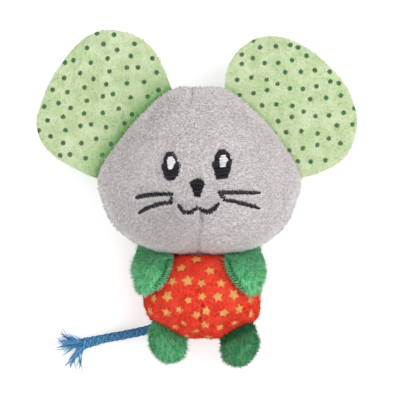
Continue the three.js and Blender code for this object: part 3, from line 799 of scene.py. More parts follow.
def plump(front, back, most, cells=44):
    """Blows up a front and a back panel, as cloth sewn together round its edge, and moves their
    points by what it swells, up to so many millimetres."""
    points, faces, rim, low, number = joined_halves(
        *(regrid(panel.points, cells) for panel in (front, back)))
    bag = new_piece("bag", points, (), faces.tolist())
    bag.vertex_groups.new(name="seam").add([int(i) for i in rim], 1.0, "REPLACE")
    cloth = bag.modifiers.new("cloth", "CLOTH")
    for setting, value in {
            "quality": 6, "tension_stiffness": 4, "compression_stiffness": 4,
            "shear_stiffness": 2, "bending_stiffness": 0.05, "use_pressure": True,
            "uniform_pressure_force": 4, "shrink_min": -0.02, "vertex_group_mass": "seam"}.items():
        setattr(cloth.settings, setting, value)
    cloth.settings.effector_weights.gravity = 0
    cloth.point_cache.frame_start, cloth.point_cache.frame_end = 1, PLUMPING_FRAMES
    for at in range(1, PLUMPING_FRAMES + 1):
        bpy.context.scene.frame_set(at)
    mesh = bag.evaluated_get(bpy.context.evaluated_depsgraph_get()).to_mesh()
    swollen = np.empty(len(mesh.vertices) * 3, np.float32)
    mesh.vertices.foreach_get("co", swollen)
    moves = swollen.reshape(-1, 3) / MM - CHIN - points
    bpy.data.objects.remove(bag)
    bpy.context.scene.frame_set(1)
    far = np.linalg.norm(moves, axis=1)
    moves *= (np.minimum(far, most) / np.maximum(far, 1e-6))[:, None]
    for panel, order, outwards in ((front, np.arange(len(low)), 1), (back, low, -1)):
        swell = regrid(moves[number[order]].reshape(cells + 1, cells + 1, 3), panel.cells)
        # never in towards the filling
        swell[..., 2] = outwards * np.maximum(outwards * swell[..., 2], 0)
        for _ in range(3):  # takes the coarse grid's corners off
            wide = np.pad(swell, ((1, 1), (1, 1), (0, 0)), "edge")
            swell = (wide[:-2, 1:-1] + wide[2:, 1:-1] + wide[1:-1, :-2] + wide[1:-1, 2:]
                     + 4 * swell) / 8
        # the seam holds its line
        panel.points = panel.points + swell * (1 - smoothstep(panel.u, 0.9, 1))[..., None]


WELL_CLEAR = 200  # farther up or down than any cloth


def dropped(tree, x, y, from_above=True):
    """The place and the normal where a plumb line through (x, y) meets a cloth, or None."""
    side = 1 if from_above else -1
    start = Vector((x, y, side * WELL_CLEAR))
    place, normal, _, _ = tree.ray_cast(start, Vector((0, 0, -side)))
    return None if place is None else (np.array(place), np.array(normal))


def bending(still, moving, start, way, height, steps):
    """What a piece rides on that bends from one body to another, between two places on a line."""
    spots = [np.array((*(start + way * step), height)) for step in steps]
    return (still, moving, *(tuple((spot + CHIN) * MM) for spot in spots))


def lay_panel(name, cloth, material, marks, thickness, fill, rides, inner=None, **hair):
    """Makes a panel's cloth with its pile, in place of the panel's CAD node."""
    piece = cloth.piece(f"{name}_cloth", material, thickness, marks, inner)
    pile = grown(piece, f"{name}_pile", PILE, material, **hair)
    settle(piece, rides, [f"{name}_panel"])
    settle(pile, rides)


def in_plan(px, py, height):
    """The place in the plan of a pixel of the photograph, on something at a height."""
    nearer = (VIEW_HEIGHT - height) / (VIEW_HEIGHT - SCALE_HEIGHT)
    middle = FRAME_PIXELS / 2
    return ((middle + (px - middle) * nearer - CHIN_PIXEL[0]) * PIXEL,
            (CHIN_PIXEL[1] - middle - (py - middle) * nearer) * PIXEL)


def on_cloth(tree, px, py):
    """Where a pixel of the photograph lies on a cloth."""
    height = SCALE_HEIGHT
    for _ in range(3):
        found = dropped(tree, *in_plan(px, py, height))
        if found is None:
            return None
        height = found[0][2]
    return found


# ---------------------------------------------------------------- printed patterns


def nudged(line, moves):
    """A line moved a little near some pixels: (px, py, mm along x, mm along y, reach in mm)."""
    line = np.array(line, float)
    total = np.zeros_like(line)
    for px, py, dx, dy, reach in moves:
        near = np.hypot(*(line - in_plan(px, py, HEAD_SEAM)).T) / reach
        total += np.exp(-near ** 2)[:, None] * (dx, dy)
    return line + total


def round_distance(x, y, size):
    """How far a point is outside a dot, below zero inside it."""
    return np.hypot(x, y) - size / 2


def star_distance(x, y, size):
    """How far a point is outside a five-pointed star, below zero inside it."""
    c, s = math.cos(math.radians(36)), math.sin(math.radians(36))
    x = np.abs(x)
    for kx in (c, -c):
        over = 2 * np.maximum(kx * x - s * y, 0)
        x, y = x - over * kx, y + over * s
    x, y = np.abs(x), y - size / 2
    ray = np.array((0.52 * s, 0.52 * c - 1))
    h = np.clip((x * ray[0] + y * ray[1]) / (ray @ ray), 0, size / 2)
    return np.hypot(x - ray[0] * h, y - ray[1] * h) * np.sign(y * ray[0] - x * ray[1])


UNPRINTED = 9.0  # farther from a mark than its frayed edge reaches


def print_on(cloth, marks, distance):
    """The distance in mm at each point of a cloth to the nearest printed mark, each laid flat on
    the cloth round its place."""
    points = cloth.points.reshape(-1, 3)
    nearest = np.full(len(points), UNPRINTED)
    for place, normal, size, turn in marks:
        close = np.abs(points - place).max(axis=1) < size + 1
        if not close.any():
            continue
        right = np.cross((0.0, 1.0, 0.0), normal)
        right /= np.linalg.norm(right)
        ahead = np.cross(normal, right)
        away = points[close] - place
        x, y = away @ right, away @ ahead
        c, s = math.cos(turn), math.sin(turn)
        found = distance(c * x + s * y, c * y - s * x, size)
        nearest[close] = np.minimum(nearest[close], found)
    return nearest


TOSSES = 4000


def scattered(outline, spacing, seed):
    """Places tossed over an outline, none closer than the spacing."""
    rng = np.random.default_rng(seed)
    span = outline.radii.max()
    places = []
    for _ in range(TOSSES):
        p = outline.centre + rng.uniform(-span, span, 2)
        if outline.share(*p) < 0.97 and all(math.dist(p, q) > spacing for q in places):
            places.append(p)
    return places


# ---------------------------------------------------------------- head

HEAD_SEAM, SEAM_HALF = 20.15, 0.15
HEAD_WIDTH, HEAD_LENGTH = 82, 68
HEAD_OUTLINE = Outline(smooth_line(mirrored([
    (0, 0), (0.55, 0.045), (0.84, 0.17), (0.96, 0.32), (1, 0.455), (0.84, 0.647), (0.55, 0.86),
    (0.26, 0.99), (0, 1)], HEAD_WIDTH, HEAD_LENGTH, 0, 0), closed=True), (0, 0.47 * HEAD_LENGTH))
HEAD_FRONT, HEAD_BACK = 23, 20.5
HEAD_CELLS = (150, 110)
HEAD_SHAPE = (2.5, 0.72)  # how full it stays towards its seam, and how round it ends there
HEAD_PILE_REACH = 0.45  # how far the plush stands out past the cloth's outline
LYING = 0.55  # the cloth is pressed flat where the head lies on it, with its pile under it
FOREHEAD_HEIGHT, CHIN_HEIGHT, EYES_HEIGHT, MOUTH_HEIGHT = 38, 34, 42, 41
# the darts, and the middle of the painted shade beside the muzzle, in pixels
FOREHEAD_DART = [(193, 86), (191.8, 101), (190, 113)]
CHIN_DART = [(200.5, 213), (202.3, 222), (199.4, 234), (198, 256)]
MUZZLE_SHADE = (168, 215)
EMBROIDERY_GAP = 0.4  # how far the pile keeps away from the stitches
HEAD_HAIR = {"Length": 0.67 * MM, "Longest": 1.9, "Width": 0.14 * MM, "Lean": 1.1,
             "Ruffle": 0.4, "Curl": 0.0, "Segments": 1}


def seam_tuck(cloth, seam, depth, wave, seed):
    """Draws a cloth in towards its seam, with the small puckers that sewing leaves."""
    down = np.abs(cloth.points[..., 2] - seam)
    ripple = (np.sin(cloth.angle * wave + 2 * np.sin(cloth.angle * 5 + seed))
              + 0.6 * np.sin(cloth.angle * wave * 1.7 + seed))
    cloth.push(-depth * falloff(down, 1.3) + 0.16 * depth * ripple * falloff(down, 3.5))


def combed(x, y, seed=0):
    """The way the grey plush was stroked: steeply down one cheek, across the other."""
    side = smoothstep(x + 4 * np.sin(y / 9 + seed), -8, 12)
    steep, level = np.array((-0.55, -0.83, 0)), np.array((0.96, -0.25, 0))
    return steep * (1 - side)[..., None] + level * side[..., None]


def fringed(comb, cloth, start):
    """Turns the combing outwards near the rim of a panel, where the pile stands off the seam."""
    away = unit(np.stack([cloth.x - cloth.centre[0], cloth.y - cloth.centre[1], 0 * cloth.x],
                         axis=-1), 0.5)
    share = smoothstep(cloth.u, start, 1.0)[..., None]
    return comb * (1 - share) + away * share


# the stitched areas of the face, in pixels: rows (y, from x, to x) from the top down
EYES = {
    RIGHT: [(152.8, 167.6, 172.8), (155, 165.8, 174.7), (158.7, 164.6, 176.7),
            (162.5, 163.2, 178.4), (165.8, 162.5, 181.0), (169, 162.5, 180.3),
            (172.3, 163.8, 179.6), (175.6, 164.4, 178.2), (177.8, 165.6, 176.8),
            (179.6, 167.4, 174.8)],
    LEFT: [(150.3, 219.2, 223.9), (152.7, 216.8, 226.7), (155.9, 215.2, 229), (159.7, 213.8, 230.4),
           (163.4, 212.2, 230.9), (166.7, 212.6, 230.9), (170, 214.5, 230.4), (172.8, 214.8, 229.4),
           (175.8, 215.4, 228.6), (178.2, 217.2, 226.8)],
}
SHINES = {
    RIGHT: [(157.8, 169, 173), (160, 167.9, 174.5), (163, 168.1, 175.6), (166, 168.4, 173.9),
            (168.9, 169.3, 172.5)],
    LEFT: [(156, 221, 225), (158.5, 219.3, 226), (160.3, 219.2, 227.6), (163, 219.3, 226),
           (166.6, 220.3, 224.8)],
}
NOSE = [(179.2, 196.2, 201.2), (180.4, 193.6, 202.8), (182.4, 190.8, 204.2), (184.4, 189.9, 204.2),
        (186.4, 190.7, 203.4), (189, 192.2, 202.4), (191.5, 193.3, 201.3), (194, 193.8, 200.6),
        (195.8, 194.2, 200.4)]
# stitched lines, in pixels
MOUTH = [[(179.4, 204.9), (180.6, 208), (183.6, 211.2), (188.3, 212.6), (192.9, 210.9),
          (196.9, 207.8)],
         [(199.9, 207.6), (203.3, 210.5), (207.5, 211.7), (212.6, 209.8), (215.9, 207),
          (218.7, 203.7)]]
WHISKERS = {
    RIGHT: [[(136.7, 197.4), (145.6, 195.5), (154.1, 194.5), (162.5, 194.2), (172.6, 193.9)],
            [(139.5, 212.6), (145.6, 208.9), (154.1, 205.6), (162.5, 203.3), (170.9, 202.6)],
            [(172.2, 195), (171.7, 198.5), (171, 203.4)]],
    LEFT: [[(219, 191.5), (228.1, 192.4), (237.5, 192.3), (246.8, 192.5), (259.3, 192.7)],
           [(224, 199.8), (232.8, 200.9), (242.1, 203.3), (251.5, 205.6), (258.6, 208.2)],
           [(219.8, 192.8), (222, 196), (224.4, 199.2)]],
}
LINE_WIDTH, JOINING_WIDTH, MOUTH_WIDTH = 1.9, 1.6, 2.15
EYE_SLANT, NOSE_SLANT, LINE_SLANT = 0.12, -0.1, 0.6  # how the threads turn, in radians
THREAD_OVERLAP = 0.3  # how far the threads reach past the areas' edges


def stitched_rows(tree, rows, slant):
    """The line up the middle of a stitched area, with the span of the threads across it."""
    rows = smooth_line(rows, steps=6)
    line, up, across, span = [], [], [], []
    for y, left, right in rows:
        place, normal = on_cloth(tree, (left + right) / 2, y)
        line.append(place)
        up.append(normal)
        across.append((math.cos(slant), math.sin(slant), 0))
        span.append((right - left) * PIXEL * MM + THREAD_OVERLAP * MM)
    return np.array(line), up, across, span


def stitched_line(tree, pixels, width, slant):
    """A stitched line, with its threads lying across it, turned by a slant."""
    places = [on_cloth(tree, x, y) for x, y in smooth_line(pixels, steps=6)]
    line, up = (np.array(part) for part in zip(*places))
    along = unit(np.gradient(line, axis=0))
    across = np.cross(up, along) * math.cos(slant) + along * math.sin(slant)
    ends = np.linspace(0, 1, len(line))
    taper = 0.62 + 0.38 * np.minimum(1, 6 * np.minimum(ends, 1 - ends))
    return line, up, across, width * MM * taper


def embroider(name, parts, material, seed, **sizes):
    """Satin stitches in a thread, over lines that each come with their marks."""
    lines, *marks = zip(*parts)
    return made_of_lines(name, lines, SATIN, material, {
        mark: np.concatenate(values) for mark, values in zip(("up", "across", "span"), marks)},
                         Seed=seed, **{size: value * MM for size, value in sizes.items()})


def dress_head():
    outline = HEAD_OUTLINE.moved_out(-HEAD_PILE_REACH)
    front = Cloth(outline, HEAD_CELLS[0], lambda x, y, u: HEAD_SEAM + SEAM_HALF
                  + (HEAD_FRONT - HEAD_PILE_REACH) * crown(u, *HEAD_SHAPE))
    back = Cloth(outline, HEAD_CELLS[1], lambda x, y, u: HEAD_SEAM - SEAM_HALF
                 - (HEAD_BACK - HEAD_PILE_REACH) * crown(u, *HEAD_SHAPE), up=False)
    plump(front, back, 1.0)
    x, y = front.x, front.y
    forehead, t = near_line(x, y, [in_plan(*p, FOREHEAD_HEIGHT) for p in FOREHEAD_DART])
    chin, s = near_line(x, y, [in_plan(*p, CHIN_HEIGHT) for p in CHIN_DART])
    front.push(-0.55 * (1 - t) * falloff(forehead, 1.1)
               - (0.8 - 0.3 * smoothstep(s, 0.2, 0.5)) * falloff(chin, 0.8)
               - 0.7 * smoothstep(s, 0.1, 1) * falloff(chin, 4))
    seam_tuck(front, HEAD_SEAM, 0.8, 41, 1.0)
    front.push(0.55 * lumps(front.points, 17, 1) + 0.16 * lumps(front.points, 5.5, 2))
    tree = front.tree()
    # painted light and shade on the pile: painted light makes it paler towards the seam, and
    # painted shade makes it darker beside the muzzle and in the creases of the darts
    rim = smoothstep(outline.share(x, y), 0.86, 1.0)
    painted_rim_light = rim * (0.38 + 0.4 * (1 - smoothstep(y, 4, 14)))
    muzzle = in_plan(*MUZZLE_SHADE, FOREHEAD_HEIGHT)
    painted_muzzle_shade = np.exp(-((x - muzzle[0]) / 15) ** 2 - ((y - muzzle[1]) / 11) ** 2)
    painted_shade = 0.25 * painted_muzzle_shade + np.maximum(
        (0.45 - 0.3 * smoothstep(s, 0.15, 0.4)) * falloff(chin, 0.5),
        0.2 * (1 - t) * falloff(forehead, 0.5))

    stitched = np.zeros(x.shape, bool)
    for rows in [*EYES.values(), NOSE]:
        area = np.array([in_plan(px, py, EYES_HEIGHT) for py, *ends in rows for px in ends])
        stitched |= Outline(area, area.mean(0)).moved_out(EMBROIDERY_GAP).share(x, y) < 1
    for pixels in [*MOUTH, *WHISKERS[LEFT], *WHISKERS[RIGHT]]:
        far, _ = near_line(x, y, [in_plan(*p, MOUTH_HEIGHT) for p in pixels])
        stitched |= far < LINE_WIDTH / 2 + EMBROIDERY_GAP
    lay_panel("head_front", front, "grey_plush", {
        "pile": ~stitched * (1 - 0.35 * rim), "comb": fringed(combed(x, y), front, 0.9),
        "painted_rim_light": painted_rim_light, "painted_shade": painted_shade},
              thickness=1.2, fill=0.9, rides="head", Density=4.2e6, Seed=1, **HEAD_HAIR)

    seam_tuck(back, HEAD_SEAM, 0.8, 37, 2.0)
    back.push(0.5 * lumps(back.points, 19, 3))
    back.points[..., 2] = np.maximum(back.points[..., 2], LYING)
    lay_panel("head_back", back, "grey_plush", {
        "pile": smoothstep(back.points[..., 2], 1.0, 1.5),
        "comb": fringed(combed(back.x, back.y, 2), back, 0.9)},
              thickness=1.2, fill=0.9, rides="head", Density=4e6, Seed=2, **HEAD_HAIR)

    def sew(piece, node, lines, material, seed, **sizes):
        settle(embroider(piece, lines, material, seed, **sizes), "head", [node])

    for side, word in SIDES:
        sew(f"eye_{word}_satin", f"eye_{word}", [stitched_rows(tree, EYES[side], EYE_SLANT)],
            "black_thread", 3, Spacing=0.6, Thread=0.64, Lift=0.4, Ragged=0.7)
        sew(f"eye_{word}_shine", f"eye_{word}_highlight", [
            stitched_rows(tree, SHINES[side], EYE_SLANT)],
            "white_thread", 4, Spacing=0.5, Thread=0.56, Lift=0.85, Ragged=0.2)
        widths = (LINE_WIDTH, LINE_WIDTH, JOINING_WIDTH)
        sew(f"whiskers_{word}_satin", f"whiskers_{word}", [
            stitched_line(tree, *line, LINE_SLANT) for line in zip(WHISKERS[side], widths)],
            "black_thread", 5, Spacing=0.94, Thread=0.7, Lift=0.35, Ragged=0.55)
    sew("nose_satin", "nose", [stitched_rows(tree, NOSE, NOSE_SLANT)],
        "black_thread", 6, Spacing=0.6, Thread=0.64, Lift=0.4, Ragged=0.6)
    sew("mouth_satin", "mouth", [stitched_line(tree, line, MOUTH_WIDTH, LINE_SLANT)
                                 for line in MOUTH],
        "black_thread", 7, Spacing=0.92, Thread=0.74, Lift=0.35, Ragged=0.6)
    stuff("head_stuffing", HEAD_OUTLINE, 2.3, lambda x, y: HEAD_SEAM, (20.4, 18.0), HEAD_SHAPE,
          "head", "head_filling")


FILLING_CELLS = 40


def stuff(name, outline, inset, seam, depths, shape, rides, node, share=lambda x, y: 1.0):
    """A lumpy mass of filling, closed front and back."""
    halves = []
    for out, depth in zip((1, -1), depths):
        half = Cloth(outline.moved_out(-inset), FILLING_CELLS, lambda x, y, u: seam(x, y)
                     + out * depth * crown(u, *shape) * share(x, y), out > 0)
        half.points[..., 2] += 0.7 * (1 - half.u ** 4) * lumps(half.points, 6, 9)
        halves.append(half.points)
    points, faces, *_ = joined_halves(*halves)
    piece = new_piece(name, points, (), faces.tolist(), None, "polyester_filling")
    settle(piece, rides, [node])


dress_head()

# ---------------------------------------------------------------- ears

EAR_ROOT, EAR_REACH, EAR_HINGE_OUT = 47, 38.8, 5
EAR_CLOTH, EAR_PUFF = 1.0, 0.4
EAR_CELLS = 104
EAR_SPOT = (0.637, 0.725)  # where it is sewn on, as shares of the head's half width and length
EAR_SHARES = [
    (-0.14, -0.42), (-0.14, 0.42), (0, 0.51), (0.14, 0.6), (0.39, 0.66), (0.62, 0.64),
    (0.84, 0.5), (0.975, 0.28), (1, 0.05), (0.975, -0.2), (0.84, -0.43), (0.63, -0.55),
    (0.4, -0.59), (0.14, -0.555), (0, -0.505)]
DOT_SIZE = 2.0
EAR_HAIR = {"Length": 0.5 * MM, "Longest": 1.7, "Width": 0.09 * MM, "Lean": 0.9,
            "Ruffle": 0.7, "Curl": 0.0, "Segments": 1}
# the dots on the fronts of the ears, in pixels
DOTS = {
    RIGHT: [
        (113.9, 34.7), (96.8, 33.4), (134.5, 43.8), (103.5, 44.2), (86.9, 48), (117.2, 50),
        (130.8, 56.1), (107.6, 58.5), (152.4, 58.4), (73.4, 60.2), (90.7, 62.7), (64.9, 62.5),
        (126.9, 67.7), (138, 67.6), (109.5, 71.4), (156.6, 72.5), (80, 73.3), (64.1, 78.1),
        (93.5, 79), (144.1, 81.9), (126.9, 83.4), (106.2, 84.3), (84.5, 87.5), (158.5, 90.1),
        (52.6, 89.7), (67.3, 92.2), (112.9, 94.1), (147.8, 96.7), (102.9, 96.3), (130.7, 97.9),
        (86.9, 100.8), (58.6, 103), (44.1, 106.7), (70.5, 108), (118.7, 108.5), (102.8, 112.9),
        (84, 113.5), (62.9, 116.8), (47.5, 120.4), (90.9, 124.5), (80.4, 125.9), (106, 127.4),
        (38.7, 130.7), (65.5, 130.2), (50.6, 136.4), (96.2, 138.8), (63.1, 143.1),
        (81.3, 143.1), (69.9, 154.5), (60.2, 155.5), (85.7, 158.3), (124.5, 123.5),
        (111, 144), (102.5, 155), (132, 114.5)],
    LEFT: [
        (253, 40.5), (290.3, 45), (276, 46.4), (260, 47.3), (241.9, 54.5), (306.5, 55.8),
        (252.9, 58.3), (292, 60.1), (264.6, 63.1), (278.1, 62.9), (241.8, 63.9), (314.8, 70.1),
        (285.2, 72.2), (300.9, 71.8), (329.8, 71.8), (251.3, 77.5), (237.1, 79.8),
        (266.6, 79.7), (330.3, 81.4), (277.7, 84.1), (316.4, 86.3), (289.8, 88.4),
        (302.9, 88.9), (267.2, 90.1), (253.6, 93.2), (340.8, 95.6), (326.1, 97.9),
        (310.2, 99.1), (276.4, 104.3), (262.2, 105.6), (292.5, 105.9), (354.4, 108.4),
        (303.5, 111.6), (343.6, 112.8), (329, 115.5), (315.3, 116.2), (291.8, 117),
        (278.2, 121.2), (352.5, 124.5), (336.8, 125.6), (301.3, 131.2), (286.3, 132.2),
        (317.5, 133.6), (328.7, 138.5), (340.4, 143.3), (317.3, 144.9), (302.8, 148.4),
        (325.3, 160.2), (297.7, 161.4), (310.7, 161.8), (239.5, 95.5), (274, 133.5),
        (289, 150.5), (338.8, 83.2), (298, 47.5)],
}


def dress_ear(side, word, splay, reach_share, shade, folds, moves):
    """An ear, turned out by its splay in degrees and cut off by the head, which shades it. Folds
    are lines in pixels, each with its depth and width."""
    turn = math.radians(splay)
    outwards = np.array((side * math.cos(turn), math.sin(turn)))
    upwards = np.array((-side * math.sin(turn), math.cos(turn)))
    reach = EAR_REACH * reach_share
    root = np.array((side * EAR_SPOT[0] * HEAD_WIDTH / 2, EAR_SPOT[1] * HEAD_LENGTH))
    shape = [root + outwards * out * reach + upwards * up * EAR_ROOT for out, up in EAR_SHARES]
    whole = Outline(nudged(smooth_line(shape, closed=True), moves),
                    root + outwards * 0.46 * reach)
    outline = whole.cut_by(HEAD_OUTLINE, 0.94)

    def wave(x, y):
        out, up = way_along(x, y, root, outwards), way_along(x, y, root, upwards)
        level = smoothstep(out, 1, 22) * (
            0.9 * np.sin(up / 7.5 + side) + 0.6 * np.sin(out / 6 + up / 11))
        for line, depth, width in folds:
            far, t = near_line(x, y, [in_plan(*p, SCALE_HEIGHT) for p in line])
            level -= depth * falloff(far, width) * np.sin(math.pi * np.clip(t, 0.08, 0.92))
        return HEAD_SEAM + level

    def thickness(x, y, u):
        pressed = 0.3 + 0.7 * smoothstep(
            way_along(x, y, root, outwards) - EAR_HINGE_OUT, 0, 7)
        rounded = np.maximum(0, 1 - u ** 14) ** 0.5
        return pressed * rounded * (EAR_CLOTH + EAR_PUFF * crown(u, 4, 1)) + 0.04

    rides = bending("head", f"ear_{word}", root, outwards, HEAD_SEAM,
                    (EAR_HINGE_OUT - 3.5, EAR_HINGE_OUT + 3.5))
    for up, panel, sign in ((True, "front", 1), (False, "back", -1)):
        cloth = Cloth(outline, EAR_CELLS, lambda x, y, u: wave(x, y) + sign * (
            SEAM_HALF + thickness(x, y, u)), up)
        x, y = cloth.x, cloth.y
        tree = cloth.tree()
        dots = [on_cloth(tree, *p) for p in DOTS[side]] if up else [
            dropped(tree, *p, False) for p in scattered(whole, 5.2, 30 + side)]
        # a dot that misses the cloth lies just outside its edge, or behind the head
        marks = [(*dot, DOT_SIZE, 0) for dot in dots if dot is not None]
        head_share = HEAD_OUTLINE.share(x, y)
        from_head = (head_share - 1) * np.hypot(x - HEAD_OUTLINE.centre[0],
                                                y - HEAD_OUTLINE.centre[1])
        # painted shade: the root mark paints the ear's cloth darker green near the head, most on
        # the mouse's right ear
        lay_panel(f"ear_{word}_{panel}", cloth, "dotted_velour", {
            "print": print_on(cloth, marks, round_distance),
            "root": shade[0] * np.exp(-np.maximum(from_head, 0) / shade[1]),
            "pile": head_share > 0.985, "comb": np.full((*x.shape, 3), (0.7, 0.7, 0))},
                  thickness=None, fill=0.2, rides=rides,
                  inner=np.stack([x, y, wave(x, y) + sign * SEAM_HALF], axis=-1),
                  Density=4e6, Seed=60 + side, **EAR_HAIR)


dress_ear(LEFT, "left", 41.8, 0.96, (0.3, 0.8), [
    ([(250, 60), (268, 95), (285, 120)], 0.8, 3.5), ([(300, 60), (318, 110), (312, 155)], 0.9, 4)],
    [(235, 58, -0.6, 0.3, 9), (312, 48, -0.5, -0.8, 12), (345, 160, 1.0, -0.6, 11)])
dress_ear(RIGHT, "right", 38.7, 1.03, (0.95, 4.0), [
    ([(97, 45), (88, 80), (92, 118)], 1.2, 3.0), ([(130, 45), (122, 80), (118, 112)], 0.7, 3.5)],
    [(98, 33, -0.7, 1.7, 11), (166, 68, -1.3, -0.2, 8), (42, 92, 1.2, 0, 10), (40, 140, -0.9, 0, 9),
     (72, 170, 0.5, 0.9, 10)])

# ---------------------------------------------------------------- body

BODY_SEAM = 17.15
BODY_WIDTH, BODY_LENGTH, NECK_TUCK = 48, 33.5, 6
BODY_CENTRE = (1, 0.41 * (BODY_LENGTH + NECK_TUCK) - BODY_LENGTH)
BODY_OUTLINE = Outline(nudged(smooth_line(mirrored([
    (0, 0.008), (0.29, 0.015), (0.515, 0.083), (0.725, 0.165), (0.865, 0.21), (0.95, 0.29),
    (1, 0.42), (0.955, 0.595), (0.81, 0.735), (0.625, 0.823), (0.48, 0.878), (0.33, 0.96),
    (0, 1)], BODY_WIDTH, BODY_LENGTH + NECK_TUCK, 1, -BODY_LENGTH), closed=True),
    [(256, 319, 1.3, -0.4, 5)]), BODY_CENTRE)
BODY_FRONT, BODY_BACK = 16.5, 17.5
BODY_CELLS = (190, 150)
BODY_SHAPE = (2.5, 0.7)
BODY_PILE_REACH = 0.3
BODY_HAIR = {"Length": 0.75 * MM, "Longest": 1.75, "Width": 0.1 * MM, "Lean": 0.8,
             "Ruffle": 0.7, "Curl": 0.0, "Segments": 1}
BODY_DART = [(202.8, 304, 30), (200.8, 318, 29), (199.8, 342, 20)]  # pixels and heights
STAR_SPREAD = 1.22  # the stars are printed larger, because the pile hides their tips
# the printed stars of the front, in pixels: middle and size from point to point
STARS = [
    (196.4, 259.3, 10), (181.6, 267.9, 9.5), (209.8, 271, 9.5), (172.4, 281.3, 8.5),
    (187.8, 280.7, 11), (201.5, 283.1, 7.5), (221, 283.4, 8), (153.6, 297.8, 8),
    (167.4, 296.1, 11), (188.5, 300.3, 7), (202.1, 296.3, 7.5), (217.9, 296.9, 9.5),
    (233.8, 294.7, 10.5), (250.6, 299.4, 9), (259.9, 295.6, 8), (150.1, 311.1, 8.5),
    (166.6, 312.9, 9.5), (179.1, 309.7, 7.5), (196.6, 315.1, 8.5), (206.2, 311.1, 9),
    (223.8, 312.9, 10), (239.3, 308.9, 9.5), (251.2, 314.3, 7), (184, 323, 6.5),
    (175.3, 327, 7.5), (205.1, 324.9, 9), (220.3, 326.8, 8.5), (234.7, 322.7, 7),
    (196.4, 330.8, 7), (187.2, 336, 8), (207.6, 336.8, 9), (160.1, 323.5, 8),
    (161, 283.5, 8), (150.5, 284, 8.5), (232, 268, 8), (245, 283, 9), (224, 259, 8),
]


CHEST_FALL = 15  # over this length


def chest_share(y):
    """How full the chest is, as it falls back to the chin on a quarter of an ellipse."""
    along = np.clip((y - 1 + CHEST_FALL) / CHEST_FALL, 0, 1)
    return np.maximum(0.15, np.sqrt(1 - along ** 2))


def under_head(points):
    """Keeps the neck out of the head: pulls it under the head's back."""
    share = HEAD_OUTLINE.share(points[..., 0], points[..., 1])
    low = HEAD_SEAM - SEAM_HALF - HEAD_BACK * crown(share, *HEAD_SHAPE) - 0.6
    points[..., 2] = np.where(share < 0.995, np.minimum(points[..., 2], low), points[..., 2])


def dress_body():
    outline = BODY_OUTLINE.moved_out(-BODY_PILE_REACH)
    front = Cloth(outline, BODY_CELLS[0], lambda x, y, u: BODY_SEAM + SEAM_HALF
                  + (BODY_FRONT - BODY_PILE_REACH) * crown(u, *BODY_SHAPE) * chest_share(y))
    back = Cloth(outline, BODY_CELLS[1], lambda x, y, u: BODY_SEAM - SEAM_HALF
                 - (BODY_BACK - BODY_PILE_REACH) * crown(u, *BODY_SHAPE), up=False)
    plump(front, back, 0.8)
    rng = np.random.default_rng(21)

    def starred(cloth, marks, **others):
        return {"print": print_on(cloth, marks, star_distance), **others,
                "comb": np.full((*cloth.x.shape, 3), (0, -1, 0))}

    x, y = front.x, front.y
    dart_line = [in_plan(*p) for p in BODY_DART]
    dart, t = near_line(x, y, dart_line)
    dart_top = dart_line[0]
    pit = np.exp(-((x - dart_top[0]) ** 2 + (y - dart_top[1] + 0.8) ** 2) / 0.9)
    fading = 1 - smoothstep(t, 0.55, 0.85)
    front.push(-0.75 * fading * falloff(dart, 0.5) - 0.45 * pit
               - 0.5 * smoothstep(t, 0, 0.6) * falloff(dart, 3))
    seam_tuck(front, BODY_SEAM, 0.9, 31, 3.0)
    front.push(0.5 * lumps(front.points, 11, 5) + 0.14 * lumps(front.points, 4, 6))
    under_head(front.points)
    tree = front.tree()
    stars = [(on_cloth(tree, px, py), size * PIXEL * STAR_SPREAD) for px, py, size in STARS]
    marks = [(*place, size, rng.uniform(-0.6, 0.6)) for place, size in stars
             if place is not None]
    # painted shade: the dart's crease and its pit are painted darker red, and grow less pile
    deep_shade = np.maximum(0.55 * fading * falloff(dart, 0.55), 0.8 * pit)
    lay_panel("body_front", front, "star_velour",
              starred(front, marks, root=deep_shade, pile=1 - 0.7 * deep_shade),
              thickness=1.1, fill=0.85, rides="torso", Density=5e6, Seed=8, **BODY_HAIR)

    seam_tuck(back, BODY_SEAM, 0.9, 29, 4.0)
    back.push(0.5 * lumps(back.points, 11, 7) + 0.12 * lumps(back.points, 4, 8))
    under_head(back.points)
    back.points[..., 2] = np.maximum(back.points[..., 2], BODY_PILE_REACH)
    tree = back.tree()
    places = [dropped(tree, *p, False) for p in scattered(BODY_OUTLINE, 5.0, 22)]
    marks = [(*place, rng.uniform(3.0, 4.3), rng.uniform(-0.6, 0.6)) for place in places
             if place is not None]
    lay_panel("body_back", back, "star_velour",
              starred(back, marks, root=0 * back.x, pile=smoothstep(back.points[..., 2], 0.7, 1.3)),
              thickness=1.1, fill=0.85, rides="torso", Density=6e6, Seed=9, **BODY_HAIR)


dress_body()

# ---------------------------------------------------------------- stuffed limbs

# the outlines are in shares of half the size, the plush fans out from a place above the middle,
# and the edge was closed by hand between two angles
ARM = {
    "size": (17.2, 19.8), "depths": (5.2, 3.6), "shape": (2.3, 0.66), "pinch": 10,
    "shares": [(0.5, 1.2), (0.77, 0.72), (0.965, 0.29), (1, -0.02), (0.86, -0.43), (0.7, -0.84),
               (0.33, -0.99), (-0.09, -0.84), (-0.5, -0.545), (-0.78, -0.19), (-0.965, 0.28),
               (-0.99, 0.6), (-0.72, 0.86), (-0.1, 1.08)],
    "slant": 14.5, "hinge": (16.5, -1.6), "fan": (0, 8), "closed": (-75, 30),
    "row": 30,
}
FOOT = {
    "size": (16.4, 17.4), "depths": (6, 5.5), "shape": (2.3, 0.62), "pinch": 9,
    "shares": [(-1, 0.5), (-1, 0.1), (-0.98, -0.25), (-0.8, -0.71), (-0.39, -0.95),
               (0.12, -0.97), (0.6, -0.69), (0.91, -0.23), (1, 0.17), (0.93, 0.58), (0.7, 1.08),
               (0, 1.2)],
    "slant": 24, "hinge": (13.6, -31), "fan": (1, 20), "closed": (145, 215),
    "row": 46,
}
LIMB_CELLS = (60, 56)
LIMB_PILE_REACH = 0.7
